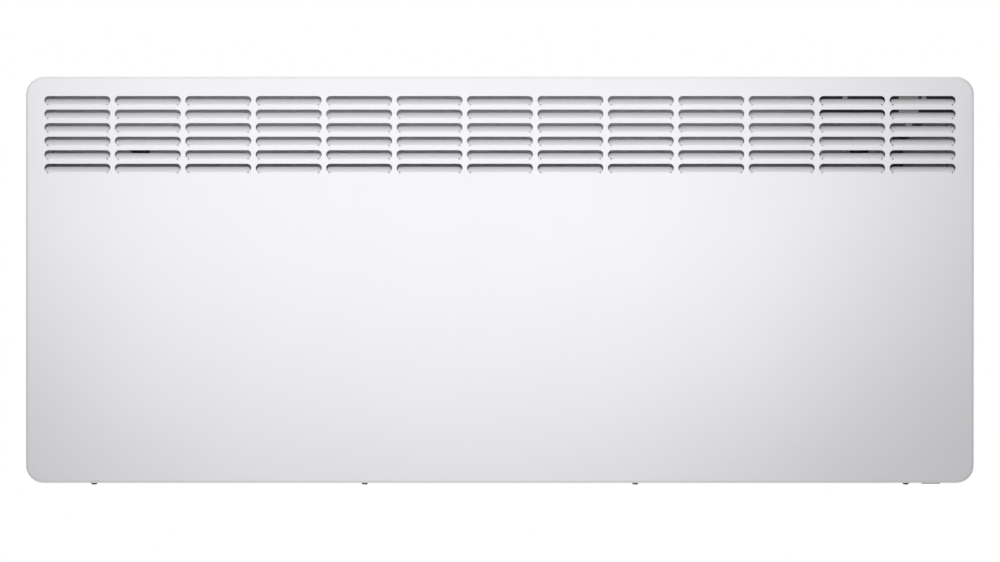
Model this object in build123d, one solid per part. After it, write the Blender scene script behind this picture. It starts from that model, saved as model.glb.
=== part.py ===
from build123d import *
import math
import os

# A wall panel convector heater on its wall bracket. Millimetres: X to the right, Y back to
# the wall, Z up. The origin is on the wall, in the middle of the four wall screws and behind
# the middle of the casing, so the front face is at Y = -CASING_DEPTH.

# Front cover: one sheet, folded back all round, with lanced louvres.
COLUMNS = 13
ROWS = 6
COLUMN_PITCH = 78.0
ROW_PITCH = 15.0
LOUVRE_LENGTH = 73.0
LOUVRE_HEIGHT = 9.2
LOUVRE_ANGLE = 53.0  # degrees that each tongue is bent in from the front
LOUVRE_KERF = 0.4  # sheared away between tongue and sheet
LOUVRE_CHORDS = 4  # short cuts that make each round end of a slot
TONGUE_CHORDS = 2
SIDE_MARGIN = 20.5  # casing side to the first slot
TOP_MARGIN = 21.4
CASING_HEIGHT = 450.0
CASING_DEPTH = 100.0  # wall to front face
SKIRT_DEPTH = 60.0  # how far the folded sides reach back
BOTTOM_FLANGE = 22.0
CORNER_RADIUS = 20.0
EDGE_RADIUS = 2.5
COVER_SHEET = 1.0

# Cover screws, under the bottom edge.
SCREW_COUNT = 4
SCREW_END = 75.0  # casing side to the first screw
SCREW_SETBACK = 13.0  # front face to the screws' line
SCREW_SHANK = 3.4  # across the flats of the square, thread-forming shank
SCREW_LENGTH = 9.0
SCREW_NOTCH_FIT = 0.6
SCREW_HEAD_RADIUS = 4.0
SCREW_HEAD_HEIGHT = 2.3
SCREW_HEAD_CROWN = 2.2  # radius of the flat on top of the head

# Rear panel: a tray pressed back from a rim that fits inside the cover's folded sides.
CHASSIS_SHEET = 1.0
BACK_GAP = 15.5  # wall to the rear panel
TRAY_INSET = 25.0  # casing side to tray side
TRAY_DROP = 17.0  # casing top to tray top
RIM_SETBACK = 0.5
RIM_LIP = 10.0
COVER_FIT = 0.3  # cover's folded sides to the rim

# Base grille: the air inlet, a channel between the cover's bottom flange and the rear panel.
INLET_COLUMNS = 11
INLET_FIRST_COLUMN = -6  # counted in louvre columns from the middle
INLET_ROWS = 3
INLET_LENGTH = 66.0
INLET_WIDTH = 8.0
INLET_PITCH = 16.0
INLET_FROM_FRONT = 33.0  # front face to the first row's middle
GRILLE_FRONT_LIP = 12.0
GRILLE_REAR_LIP = 18.0
GRILLE_SETBACK = 3.5  # front face to the front lip
GRILLE_END_GAP = 0.3

# Air duct: two end plates and a heat shield behind the front.
DUCT_END_GAP = 45.0  # casing's left side to the duct
ELECTRONICS_WIDTH = 168.0  # casing's right side to the duct
DUCT_DEPTH = 70.5  # from the rear panel forward
DUCT_LIFT = 25.0  # casing bottom to duct bottom
DUCT_DROP = 120.0  # casing top to duct top
DUCT_FLANGE = 12.0
PARTITION_GAP = 6.0  # partition to the control unit
SHIELD_SHEET = 0.8
SHIELD_LIP = 9.0
SHIELD_LIP_SET = 5.0  # how far each lip leans back

# Heating element: an extruded X of aluminium round a sheathed heater.
ELEMENT_Y = -54.0
ELEMENT_LIFT = 75.0  # casing bottom to the element's axis
ELEMENT_BOSS = 8.0
ELEMENT_REACH = 34.0  # axis to the tip of each fin
ELEMENT_FIN = 2.4
ELEMENT_FIN_ANGLE = 36.0  # degrees from Y
ELEMENT_END_GAP = 22.0  # duct end to the fins
SHEATH_RADIUS = 4.5
SHEATH_STICKOUT = 14.0
SHEATH_FIT = 0.05
BUSH_SIDE = 22.0
BUSH_LENGTH = 9.0
BUSH_FIT = 0.2
TERMINAL_LENGTH = 10.0
TERMINAL_WIDTH = 6.3
TERMINAL_THICKNESS = 0.8

# Overheat cut-out, on the partition above the element.
CUTOUT_RISE = 90.0  # from the element's axis
CUTOUT_RADIUS = 8.0
CUTOUT_LENGTH = 9.0
CUTOUT_PLATE = (34.0, 16.0, 1.2)
CUTOUT_TAB = (6.3, 0.8, 8.0)

# Control unit, hung under the cover's top at the right.
UNIT_FROM_SIDE = 23.0
UNIT_HEIGHT = 43.0
UNIT_FRONT_GAP = 9.0  # front face to the unit's housing
UNIT_DEPTH = 38.0
UNIT_WALL = 2.0
FASCIA_BASE = 2.0
FASCIA_MARGIN = 10.0  # fascia's base round its raised panel, at the ends
FASCIA_RAIL = 5.0  # the same along the front and back
FASCIA_FIT = 0.3
WINDOW_INSET = 6.0  # raised panel's left end to the window
WINDOW_SIZE = (50.0, 20.0)
WINDOW_THICKNESS = 0.9
WINDOW_LEDGE = 2.0
WINDOW_FIT = 0.2
KEY_NAMES = ("key_menu", "key_minus", "key_plus", "key_ok")
WINDOW_TO_KEYS = 7.0
KEY_INSET = 9.5  # last key to the raised panel's right end
KEY_PITCH = 14.5
KEY_SIZE = (10.0, 12.0)
KEY_FLANGE = 1.0
KEY_FLANGE_THICKNESS = 1.2
KEY_FIT = 0.2
KEY_SUNK = 0.2  # key top below the cover's top
KEY_SEAT = 0.1
KEY_TRAVEL = 0.6
KEY_STEM = 3.0
BOARD_SHEET = 1.6
CONTROL_BOARD_DROP = 16.0  # cover's top to the board's face
BOARD_GAP = 1.0
LEDGE_WIDTH = 4.0
TACT_SIZE = (6.0, 6.0, 3.6)
TACT_PLUNGER = (3.2, 3.2, 0.8)
CLIP_X = 24.0  # from the unit's middle
CLIP_WIDTH = 22.0
CLIP_TONGUE = 7.0
CLIP_SHEET = 0.8
CLIP_TOP_GAP = 8.0
CLIP_HANG = 14.0
UNIT_SCREW_SPACING = 87.5
UNIT_SCREW_OFFSET = -2.75
UNIT_SCREW_DROP = 23.0  # casing top to the screws
UNIT_SCREW_HEAD = (5.5, 1.1)  # across the flats, thickness

# Power electronics, on the rear panel at the right.
CARRIER_FROM_SIDE = 41.0
CARRIER_GAP = 19.0  # partition to the carrier
CARRIER_LIFT = 107.0
CARRIER_HEIGHT = 134.0
CARRIER_WALL = 2.0
CARRIER_DEPTH = 9.0
CARRIER_LEDGE = 6.0
RELAY = (16.0, 16.0, 29.0)  # X, Y, Z
RELAY_AT = (30.0, 30.0)  # its middle, in from the board's left end and up from its foot
HEATSINK = (34.0, 18.0, 40.0)
HEATSINK_AT = (22.0, 36.0)  # the same, in from the board's right end
HEATSINK_FINS = 5
HEATSINK_PLATE = 2.0
PLUG = (26.0, 16.0, 10.0)
TERMINAL_BLOCK = (36.0, 17.0, 20.0)  # X, Y, Z
TERMINAL_BLOCK_IN = 79.0  # casing side to its middle
TERMINAL_BLOCK_LIFT = 67.0  # casing bottom to its middle
TERMINAL_WAYS = 3
TERMINAL_GROOVE = 1.6
TERMINAL_SCREW = (5.0, 1.0)  # across, proud
EARTH_IN = 129.0
EARTH_LIFT = 75.0
EARTH_RADIUS = 2.4
EARTH_LENGTH = 12.0
EARTH_NUT = (8.0, 3.2)  # across the flats, thickness

# Cable inlet, in the rear panel.
INLET_IN = 50.0  # tray's right side to the inlet
INLET_LIFT = 33.0
INLET_BORE = 4.5
BUSHING_NECK = 15.0  # the cable bush is square outside
BUSHING_FLANGE = 20.0
BUSHING_LIP = 2.0
BUSHING_FIT = 0.1

# On-off switch, in the base grille at the right.
SWITCH_IN = 46.0  # casing side to the switch's middle
SWITCH_FROM_FRONT = 40.0
BEZEL_SIZE = (26.0, 32.0)
BEZEL_THICKNESS = 1.4
SWITCH_BODY = (23.4, 28.0)
SWITCH_HEIGHT = 21.0
SWITCH_WELL = (21.6, 25.0)
SWITCH_WELL_DEPTH = 10.0
SWITCH_FIT = 0.3
ROCKER_FIT = 0.25
ROCKER_TILT = 8.0  # degrees either side of level
ROCKER_PROUD = 1.7  # raised end below the cover's bottom
ROCKER_PIVOT = 5.0  # pivot above the grille's lower face
ROCKER_AXLE = 1.5
AXLE_FIT = 0.05
AXLE_LENGTH = 0.6  # into each cheek of the well
ROCKER_EDGE = 3.0  # thickness at each end
ROCKER_CROWN = 1.5  # material over the axle
SWITCH_TAB = (0.8, 4.8, 8.0)
SWITCH_TAB_PITCH = (10.0, 16.0)

# Room sensor, on a post above the base grille.
SENSOR_IN = 125.0
SENSOR_FROM_FRONT = 45.0
SENSOR_POST = (8.0, 6.0, 12.0)
SENSOR_BULB = (4.0, 4.0, 9.0)

# Wiring held inside the casing.
TRUNK_SIZE = (14.0, 7.0)  # width, thickness
TRUNK_BEND = 10.0
TRUNK_DROP = 26.0  # unit to the end of the trunk's slanted run
LEAD_SIZE = (5.6, 2.8)  # a flat twin lead
LEAD_BEND = 7.0
LEAD_STRAIGHT = 14.0  # upright run at each end

# Wall bracket: two channels with hooks, and two rails between them.
LEG_IN = 125.0  # casing side to the channel's middle
LEG_WIDTH = 40.0
LEG_DEPTH = 15.0
LEG_DROP = 40.0  # casing top to the channels
BRACKET_SHEET = 1.5
HOOK_LIFT = 38.0  # casing bottom to where the rear panel's slots bear
HOOK_DEPTH = 4.0
HOOK_GAP = 4.5  # channel's edge to the hook's tab
HOOK_TAB = 3.0
HOOK_RISE = 9.0
HOOK_TIP = 1.0  # thickness left at the tab's top
HOOK_TAPER = 3.0
HOOK_CLEARANCE = 0.2
HOOK_SLOT = (3.5, 15.0)
WALL_HOLE_RISE = 160.0  # between the upper and lower wall screws
WALL_SLOT_RADIUS = 2.75
WALL_SLOT_LENGTH = 12.0
RAIL_SPACING = 90.0
RAIL_HEIGHT = 26.0
RAIL_DEPTH = 10.0

# Sprung catches at the top of the bracket, pulled up to let the heater go.
CATCH_WIDTH = 24.0
CATCH_DROP = 21.0  # casing top to the catch's grip
CATCH_HEIGHT = 80.0
CATCH_SHEET = 1.5
CATCH_SLIP = 0.2  # catch to what guides it
CATCH_TRAVEL = 5.0
CATCH_NOSE_WIDTH = 12.0
CATCH_NOSE_RISE = 4.7  # window's sill to the nose's shelf
CATCH_BITE = 2.8  # how far the nose hangs below the window's edge
CATCH_PLAY = 0.6  # rear panel to the nose
CATCH_GRIP = 9.0
SPRING_LENGTH = 14.0
SPRING_LUG = (14.0, 6.0)
SPRING_STRIP = 0.6
SPRING_WIDTH = 12.0
SPRING_MARGIN = 1.0  # lug's front and back edge to the strip
BRIDGE_DROPS = (99.0, 53.0)  # casing top to each bridge's lower edge
BRIDGE_HEIGHT = 5.0
CATCH_WINDOW = (24.0, 13.0)
CATCH_WINDOW_DROP = 70.0  # casing top to the window
WINDOW_CORNER = (6.0, 10.0)

# Places that follow from the sizes above.
CASING_WIDTH = (COLUMNS - 1) * COLUMN_PITCH + LOUVRE_LENGTH + 2 * SIDE_MARGIN
SIDE = CASING_WIDTH / 2
TOP = CASING_HEIGHT / 2
BOTTOM = -TOP
FRONT = -CASING_DEPTH
SKIRT_BACK = FRONT + SKIRT_DEPTH
PANEL_Y = (-BACK_GAP - CHASSIS_SHEET, -BACK_GAP)
TRAY_SIDE = SIDE - TRAY_INSET
TRAY_TOP = TOP - TRAY_DROP
RIM_Y = (SKIRT_BACK - RIM_SETBACK - CHASSIS_SHEET, SKIRT_BACK - RIM_SETBACK)
COVER_TOP_INSIDE = TOP - COVER_SHEET
GRILLE_Z = (BOTTOM + COVER_SHEET, BOTTOM + COVER_SHEET + CHASSIS_SHEET)
GRILLE_FRONT = FRONT + GRILLE_SETBACK
GRILLE_SIDE = TRAY_SIDE - CHASSIS_SHEET - GRILLE_END_GAP
SCREW_Y = FRONT + SCREW_SETBACK
SHIELD_BACK = PANEL_Y[0] - DUCT_DEPTH
HOOK_SEAT = BOTTOM + HOOK_LIFT
TILT_AXIS_Z = HOOK_SEAT + HOOK_CLEARANCE
DUCT_LEFT = DUCT_END_GAP - SIDE
DUCT_RIGHT = SIDE - ELECTRONICS_WIDTH
DUCT_BOTTOM = BOTTOM + DUCT_LIFT
DUCT_TOP = TOP - DUCT_DROP
PARTITION_TOP = TOP - UNIT_HEIGHT - PARTITION_GAP
ELEMENT_Z = BOTTOM + ELEMENT_LIFT
CUTOUT_Z = ELEMENT_Z + CUTOUT_RISE
KEY_ROW = (len(KEY_NAMES) - 1) * KEY_PITCH + KEY_SIZE[0]
PANEL_WIDTH = WINDOW_INSET + WINDOW_SIZE[0] + WINDOW_TO_KEYS + KEY_ROW + KEY_INSET
UNIT_WIDTH = PANEL_WIDTH + 2 * FASCIA_MARGIN
UNIT_X = SIDE - UNIT_FROM_SIDE - UNIT_WIDTH / 2
UNIT_SCREW_Z = TOP - UNIT_SCREW_DROP
CARRIER_X = (DUCT_RIGHT + CARRIER_GAP, SIDE - CARRIER_FROM_SIDE)
CARRIER_Z = (BOTTOM + CARRIER_LIFT, BOTTOM + CARRIER_LIFT + CARRIER_HEIGHT)
TERMINAL_BLOCK_X = SIDE - TERMINAL_BLOCK_IN
TERMINAL_BLOCK_Z = BOTTOM + TERMINAL_BLOCK_LIFT
EARTH_X = SIDE - EARTH_IN
EARTH_Z = BOTTOM + EARTH_LIFT
INLET_X = TRAY_SIDE - INLET_IN
INLET_Z = BOTTOM + INLET_LIFT
SWITCH_X = SIDE - SWITCH_IN
SENSOR_X = SIDE - SENSOR_IN
LEG_X = SIDE - LEG_IN
LEG_BOTTOM = HOOK_SEAT - HOOK_DEPTH
LEG_TOP = TOP - LEG_DROP
CATCH_TOP = TOP - CATCH_DROP
CATCH_BOTTOM = CATCH_TOP - CATCH_HEIGHT
BRIDGE_Z = tuple(TOP - drop for drop in BRIDGE_DROPS)
SPRING_LUG_Z = BRIDGE_Z[1] - SPRING_LENGTH
WINDOW_Z = (TOP - CATCH_WINDOW_DROP - CATCH_WINDOW[1], TOP - CATCH_WINDOW_DROP)
CATCH_NOSE_Z = WINDOW_Z[0] + CATCH_NOSE_RISE

os.makedirs("parts", exist_ok=True)


# Shapes used by several pieces.


def span(middle, length):
    return (middle - length / 2, middle + length / 2)


def inset(ends, amount):
    return (ends[0] + amount, ends[1] - amount)


def block(x, y, z):
    """A box between three pairs of coordinates."""
    middles = [(low + high) / 2 for low, high in (x, y, z)]
    lengths = [high - low for low, high in (x, y, z)]
    return Pos(*middles) * Box(*lengths)


def bar(start, direction, radius, length):
    """A round bar that starts at a point."""
    base = Plane(origin=start, z_dir=direction)
    return base * Cylinder(radius, length, align=(Align.CENTER, Align.CENTER, Align.MIN))


def side_profile(points, x):
    """A (y, z) outline, extruded between two x coordinates."""
    outline = Plane.YZ.offset(x[0]) * make_face(Polyline(*points, close=True))
    return extrude(outline, x[1] - x[0], dir=(1, 0, 0))


def plan_profile(points, z):
    """An (x, y) outline, extruded between two heights."""
    outline = Plane.XY.offset(z[0]) * make_face(Polyline(*points, close=True))
    return extrude(outline, z[1] - z[0], dir=(0, 0, 1))


def front_profile(points, y):
    """An (x, z) outline, extruded back between two depths."""
    outline = Plane.XZ.offset(-y[0]) * make_face(Polyline(*points, close=True))
    return extrude(outline, y[1] - y[0], dir=(0, 1, 0))


def rounded_slab(inset_by, y):
    """The casing's front outline, drawn in all round by an amount, between two depths."""
    width = CASING_WIDTH - 2 * inset_by
    height = CASING_HEIGHT - 2 * inset_by
    outline = Plane.XZ.offset(-y[0]) * RectangleRounded(width, height, CORNER_RADIUS - inset_by)
    return extrude(outline, y[1] - y[0], dir=(0, 1, 0))


def mirrored(shape):
    """The same piece on the other side of the casing."""
    return mirror(shape, Plane.YZ)


# Front cover.


def slot_outline(length, height, chords):
    """A slot standing on its lower edge, with round ends made of chords."""
    radius = height / 2
    reach = length / 2 - radius
    turns = [math.radians(90 - 180 * step / chords) for step in range(chords + 1)]
    right = [(reach + radius * math.cos(a), radius + radius * math.sin(a)) for a in turns]
    left = [(-x, z) for x, z in reversed(right)]
    return make_face(Polyline(*right, *left, close=True))


def louvre_hinges():
    """The middle of each louvre's lower edge, on which its tongue is bent."""
    first_x = -(COLUMNS - 1) * COLUMN_PITCH / 2
    first_z = TOP - TOP_MARGIN - LOUVRE_HEIGHT
    return [
        (first_x + column * COLUMN_PITCH, FRONT, first_z - row * ROW_PITCH)
        for row in range(ROWS)
        for column in range(COLUMNS)
    ]


def louvre_slot():
    """What is sheared out of the front for one louvre."""
    outline = slot_outline(LOUVRE_LENGTH, LOUVRE_HEIGHT, LOUVRE_CHORDS)
    return extrude(outline, 2 * COVER_SHEET, both=True)


def louvre_tongue():
    """The sheared tongue, lying in its own sheet: outer face at local Z = 0."""
    length = LOUVRE_LENGTH - 2 * LOUVRE_KERF
    outline = slot_outline(length, LOUVRE_HEIGHT - LOUVRE_KERF, TONGUE_CHORDS)
    return extrude(outline, COVER_SHEET, dir=(0, 0, -1))


def front_cover():
    """The painted front: a folded pan with its tongues bent in, open at the back and below."""
    shell = rounded_slab(0, (FRONT, SKIRT_BACK))
    shell = fillet(shell.faces().sort_by(Axis.Y)[0].edges(), EDGE_RADIUS)
    hollow = rounded_slab(COVER_SHEET, (FRONT + COVER_SHEET, SKIRT_BACK))
    open_bottom = block(
        (-TRAY_SIDE, TRAY_SIDE),
        (FRONT + BOTTOM_FLANGE, SKIRT_BACK),
        (BOTTOM, GRILLE_Z[1]),
    )
    unit_opening = block(*fascia_panel_spans(0), (COVER_TOP_INSIDE, TOP))
    notch = SCREW_SHANK + 2 * SCREW_NOTCH_FIT
    screw_notches = [
        block(span(x, notch), (SCREW_Y - notch / 2, FRONT + BOTTOM_FLANGE), (BOTTOM, GRILLE_Z[0]))
        for x in screw_places()
    ]
    upright = [Plane(origin=at, x_dir=(1, 0, 0), z_dir=(0, -1, 0)) for at in louvre_hinges()]
    slot = louvre_slot()
    sheared = [place * slot for place in upright]
    shell = shell - [hollow, open_bottom, unit_opening] - screw_notches - sheared
    lean = math.radians(LOUVRE_ANGLE)
    bent_normal = (0, -math.cos(lean), math.sin(lean))
    bent = [Plane(origin=at, x_dir=(1, 0, 0), z_dir=bent_normal) for at in louvre_hinges()]
    tongue = louvre_tongue()
    return shell + [place * tongue for place in bent]


def screw_places():
    first = SCREW_END - SIDE
    pitch = -2 * first / (SCREW_COUNT - 1)
    return [first + number * pitch for number in range(SCREW_COUNT)]


def cover_screws():
    """Domed screws up through the notches in the cover's bottom flange into the base grille."""
    outline = [
        (0, BOTTOM - SCREW_HEAD_HEIGHT),
        (SCREW_HEAD_CROWN, BOTTOM - SCREW_HEAD_HEIGHT),
        (SCREW_HEAD_RADIUS, BOTTOM),
        (0, BOTTOM),
    ]
    head = revolve(Plane.XZ * make_face(Polyline(*outline, close=True)), Axis.Z)
    shank = block(span(0, SCREW_SHANK), span(0, SCREW_SHANK), (BOTTOM, BOTTOM + SCREW_LENGTH))
    return [Pos(x, SCREW_Y, 0) * (head + shank) for x in screw_places()]


# Rear panel and base grille.


def hook_places():
    """The middle of each hook along X: one on each side of both channels."""
    reach = LEG_WIDTH / 2 - BRACKET_SHEET / 2
    return [leg + side * reach for leg in (-LEG_X, LEG_X) for side in (-1, 1)]


def catch_window(side):
    """The opening that a catch's nose goes through, cut away at its upper inner corner."""
    inner = side * (LEG_X - CATCH_WINDOW[0] / 2)
    outer = side * (LEG_X + CATCH_WINDOW[0] / 2)
    low, high = WINDOW_Z
    corner_x, corner_z = WINDOW_CORNER
    points = [
        (inner, low),
        (outer, low),
        (outer, high),
        (inner + side * corner_x, high),
        (inner, high - corner_z),
    ]
    return front_profile(points, PANEL_Y)


def rear_panel():
    """The galvanised back: a lipped rim inside the cover and a tray pressed back from it."""
    fit = COVER_SHEET + COVER_FIT
    lip_y = (RIM_Y[0] - RIM_LIP, RIM_Y[0])
    rim = rounded_slab(fit, (lip_y[0], RIM_Y[1]))
    rim = rim - rounded_slab(fit + CHASSIS_SHEET, lip_y)
    floor_gap = (BOTTOM, GRILLE_Z[1] + CHASSIS_SHEET)
    rim = rim - block((-TRAY_SIDE, TRAY_SIDE), (lip_y[0], RIM_Y[1]), floor_gap)
    tray_z = (GRILLE_Z[0], TRAY_TOP)
    rim = rim - block((-TRAY_SIDE, TRAY_SIDE), RIM_Y, tray_z)
    tray = block((-TRAY_SIDE, TRAY_SIDE), (RIM_Y[0], PANEL_Y[1]), tray_z)
    inner_z = (tray_z[0], TRAY_TOP - CHASSIS_SHEET)
    inner_x = inset((-TRAY_SIDE, TRAY_SIDE), CHASSIS_SHEET)
    tray = tray - block(inner_x, (RIM_Y[0], PANEL_Y[0]), inner_z)
    slot_width, slot_height = HOOK_SLOT
    slots = [
        block(span(x, slot_width), PANEL_Y, (TILT_AXIS_Z - slot_height, TILT_AXIS_Z))
        for x in hook_places()
    ]
    hole_side = BUSHING_NECK + 2 * BUSHING_FIT
    cable_hole = block(span(INLET_X, hole_side), PANEL_Y, span(INLET_Z, hole_side))
    windows = [catch_window(-1), catch_window(1)]
    return rim + tray - slots - windows - cable_hole


def switch_y():
    return FRONT + SWITCH_FROM_FRONT


def base_grille():
    """The slotted air inlet, with a lip up behind the front and another on the rear panel."""
    y = (GRILLE_FRONT, PANEL_Y[0])
    x = (-GRILLE_SIDE, GRILLE_SIDE)
    front_lip = block(x, (y[0], y[0] + CHASSIS_SHEET), (GRILLE_Z[0], GRILLE_Z[0] + GRILLE_FRONT_LIP))
    rear_lip = block(x, (y[1] - CHASSIS_SHEET, y[1]), (GRILLE_Z[0], GRILLE_Z[0] + GRILLE_REAR_LIP))
    channel = block(x, y, GRILLE_Z) + front_lip + rear_lip
    slots = []
    for column in range(INLET_FIRST_COLUMN, INLET_FIRST_COLUMN + INLET_COLUMNS):
        for row in range(INLET_ROWS):
            slot_y = FRONT + INLET_FROM_FRONT + row * INLET_PITCH
            slot_x = span(column * COLUMN_PITCH, INLET_LENGTH)
            slots.append(block(slot_x, span(slot_y, INLET_WIDTH), GRILLE_Z))
    screw_holes = [
        block(span(x_at, SCREW_SHANK), span(SCREW_Y, SCREW_SHANK), GRILLE_Z)
        for x_at in screw_places()
    ]
    body_x, body_y = SWITCH_BODY
    cutout_x = span(SWITCH_X, body_x + 2 * SWITCH_FIT)
    cutout_y = span(switch_y(), body_y + 2 * SWITCH_FIT)
    return channel - slots - screw_holes - block(cutout_x, cutout_y, GRILLE_Z)


# Air duct and heating element.


def duct_end(x, side, bottom, top):
    """A folded end plate: one flange on the rear panel, one behind the heat shield."""
    web = (x, x - side * CHASSIS_SHEET)
    back = PANEL_Y[0]
    front = SHIELD_BACK
    away = x + side * (DUCT_FLANGE - CHASSIS_SHEET)
    towards = x - side * DUCT_FLANGE
    points = [
        (away, back),
        (web[1], back),
        (web[1], front + CHASSIS_SHEET),
        (towards, front + CHASSIS_SHEET),
        (towards, front),
        (x, front),
        (x, back - CHASSIS_SHEET),
        (away, back - CHASSIS_SHEET),
    ]
    plate = plan_profile(points, (bottom, top))
    opening = BUSH_SIDE + 2 * BUSH_FIT
    hole_x = span(x, 4 * CHASSIS_SHEET)
    return plate - block(hole_x, span(ELEMENT_Y, opening), span(ELEMENT_Z, opening))


def duct_end_left():
    return duct_end(DUCT_LEFT, -1, DUCT_BOTTOM, DUCT_TOP)


def partition():
    """The duct's right end, which also walls off the electronics, up to the control unit."""
    lower = duct_end(DUCT_RIGHT, 1, DUCT_BOTTOM, DUCT_TOP)
    web_x = (DUCT_RIGHT - CHASSIS_SHEET, DUCT_RIGHT)
    upper = block(web_x, (SHIELD_BACK, PANEL_Y[0]), (DUCT_TOP, PARTITION_TOP))
    return lower + upper


def heat_shield():
    """A bright sheet between the element and the front, its two long edges bent back."""
    back = SHIELD_BACK
    front = back - SHIELD_SHEET
    lip_y = back + SHIELD_LIP_SET
    points = [
        (front, DUCT_BOTTOM),
        (front, DUCT_TOP),
        (lip_y - SHIELD_SHEET, DUCT_TOP + SHIELD_LIP),
        (lip_y, DUCT_TOP + SHIELD_LIP),
        (back, DUCT_TOP),
        (back, DUCT_BOTTOM),
        (lip_y, DUCT_BOTTOM - SHIELD_LIP),
        (lip_y - SHIELD_SHEET, DUCT_BOTTOM - SHIELD_LIP),
    ]
    return side_profile(points, inset((DUCT_LEFT, DUCT_RIGHT), CHASSIS_SHEET))


def fin_span():
    return (DUCT_LEFT + ELEMENT_END_GAP, DUCT_RIGHT - ELEMENT_END_GAP)


def heating_element():
    """The aluminium extrusion: four fins in an X round a bored boss."""
    start, end = fin_span()
    section = Circle(ELEMENT_BOSS)
    for turn in (ELEMENT_FIN_ANGLE, -ELEMENT_FIN_ANGLE):
        section += Rot(0, 0, turn) * Rectangle(2 * ELEMENT_REACH, ELEMENT_FIN)
    section -= Circle(SHEATH_RADIUS + SHEATH_FIT)
    place = Plane(origin=(start, ELEMENT_Y, ELEMENT_Z), x_dir=(0, 1, 0), z_dir=(1, 0, 0))
    return extrude(place * section, end - start, dir=(1, 0, 0))


def element_sheath():
    """The steel-sheathed heater through the extrusion, held by a bush at each end."""
    start = (DUCT_LEFT - SHEATH_STICKOUT, ELEMENT_Y, ELEMENT_Z)
    length = DUCT_RIGHT - DUCT_LEFT + 2 * SHEATH_STICKOUT
    return bar(start, (1, 0, 0), SHEATH_RADIUS, length)


def element_bush(x):
    """A ceramic bush in a duct end."""
    body = block(span(x, BUSH_LENGTH), span(ELEMENT_Y, BUSH_SIDE), span(ELEMENT_Z, BUSH_SIDE))
    bore_start = (x - BUSH_LENGTH, ELEMENT_Y, ELEMENT_Z)
    return body - bar(bore_start, (1, 0, 0), SHEATH_RADIUS + SHEATH_FIT, 2 * BUSH_LENGTH)


def terminal_x():
    return DUCT_RIGHT + SHEATH_STICKOUT


def element_terminals():
    """Two spade tabs out of the sheath's right end."""
    x = (terminal_x(), terminal_x() + TERMINAL_LENGTH)
    gap = SHEATH_RADIUS - TERMINAL_THICKNESS
    tabs = []
    for side in (-1, 1):
        y = span(ELEMENT_Y + side * gap / 2, TERMINAL_THICKNESS)
        tabs.append(block(x, y, span(ELEMENT_Z, TERMINAL_WIDTH)))
    return tabs


def thermal_cutout():
    """A disc thermostat on a flat plate, with two tabs."""
    width, height, thickness = CUTOUT_PLATE
    plate_x = (DUCT_RIGHT, DUCT_RIGHT + thickness)
    plate = block(plate_x, span(ELEMENT_Y, width), span(CUTOUT_Z, height))
    disc = bar((plate_x[1], ELEMENT_Y, CUTOUT_Z), (1, 0, 0), CUTOUT_RADIUS, CUTOUT_LENGTH)
    tab_width, tab_thickness, tab_length = CUTOUT_TAB
    tab_x = (plate_x[1] + CUTOUT_LENGTH, plate_x[1] + CUTOUT_LENGTH + tab_length)
    tabs = [
        block(tab_x, span(ELEMENT_Y, tab_width), span(CUTOUT_Z + side * CUTOUT_RADIUS / 2, tab_thickness))
        for side in (-1, 1)
    ]
    return plate + disc + tabs


# Control unit.


def unit_spans():
    """The control unit's housing, seen from above."""
    front = FRONT + UNIT_FRONT_GAP
    return span(UNIT_X, UNIT_WIDTH), (front, front + UNIT_DEPTH)


def fascia_panel_spans(fit):
    """The raised part of the fascia, which fills the opening in the cover's top."""
    x, y = unit_spans()
    return inset(x, FASCIA_MARGIN + fit), inset(y, FASCIA_RAIL + fit)


def fascia_base_z():
    return (COVER_TOP_INSIDE - FASCIA_BASE, COVER_TOP_INSIDE)


def unit_middle_y():
    x, y = unit_spans()
    return (y[0] + y[1]) / 2


def board_face():
    """The upper face of the control board."""
    return TOP - CONTROL_BOARD_DROP


def control_housing():
    """The dark plastic tub, with a ledge at each end for the board."""
    x, y = unit_spans()
    z = (TOP - UNIT_HEIGHT, fascia_base_z()[0])
    inner_y = inset(y, UNIT_WALL)
    inner_x = inset(x, UNIT_WALL)
    tub = block(x, y, z) - block(inner_x, inner_y, (z[0] + UNIT_WALL, z[1]))
    ledge_z = (z[0] + UNIT_WALL, board_face() - BOARD_SHEET)
    left = block((inner_x[0], inner_x[0] + LEDGE_WIDTH), inner_y, ledge_z)
    right = block((inner_x[1] - LEDGE_WIDTH, inner_x[1]), inner_y, ledge_z)
    return tub + left + right


def window_x():
    panel_x, panel_y = fascia_panel_spans(0)
    return panel_x[0] + WINDOW_INSET + WINDOW_SIZE[0] / 2


def key_places():
    first = window_x() + WINDOW_SIZE[0] / 2 + WINDOW_TO_KEYS + KEY_SIZE[0] / 2
    return [first + number * KEY_PITCH for number in range(len(KEY_NAMES))]


def control_fascia():
    """The moulding flush with the cover's top: a stepped window opening and four key holes."""
    x, y = unit_spans()
    base_z = fascia_base_z()
    panel_x, panel_y = fascia_panel_spans(FASCIA_FIT)
    moulding = block(x, y, base_z) + block(panel_x, panel_y, (base_z[1], TOP))
    middle = unit_middle_y()
    length, width = WINDOW_SIZE
    recess = block(span(window_x(), length), span(middle, width), (base_z[1], TOP))
    sight_x = span(window_x(), length - 2 * WINDOW_LEDGE)
    sight = block(sight_x, span(middle, width - 2 * WINDOW_LEDGE), base_z)
    key_x, key_y = KEY_SIZE
    key_holes = [
        block(span(at, key_x + 2 * KEY_FIT), span(middle, key_y + 2 * KEY_FIT), (base_z[0], TOP))
        for at in key_places()
    ]
    return moulding - [recess, sight] - key_holes


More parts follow.
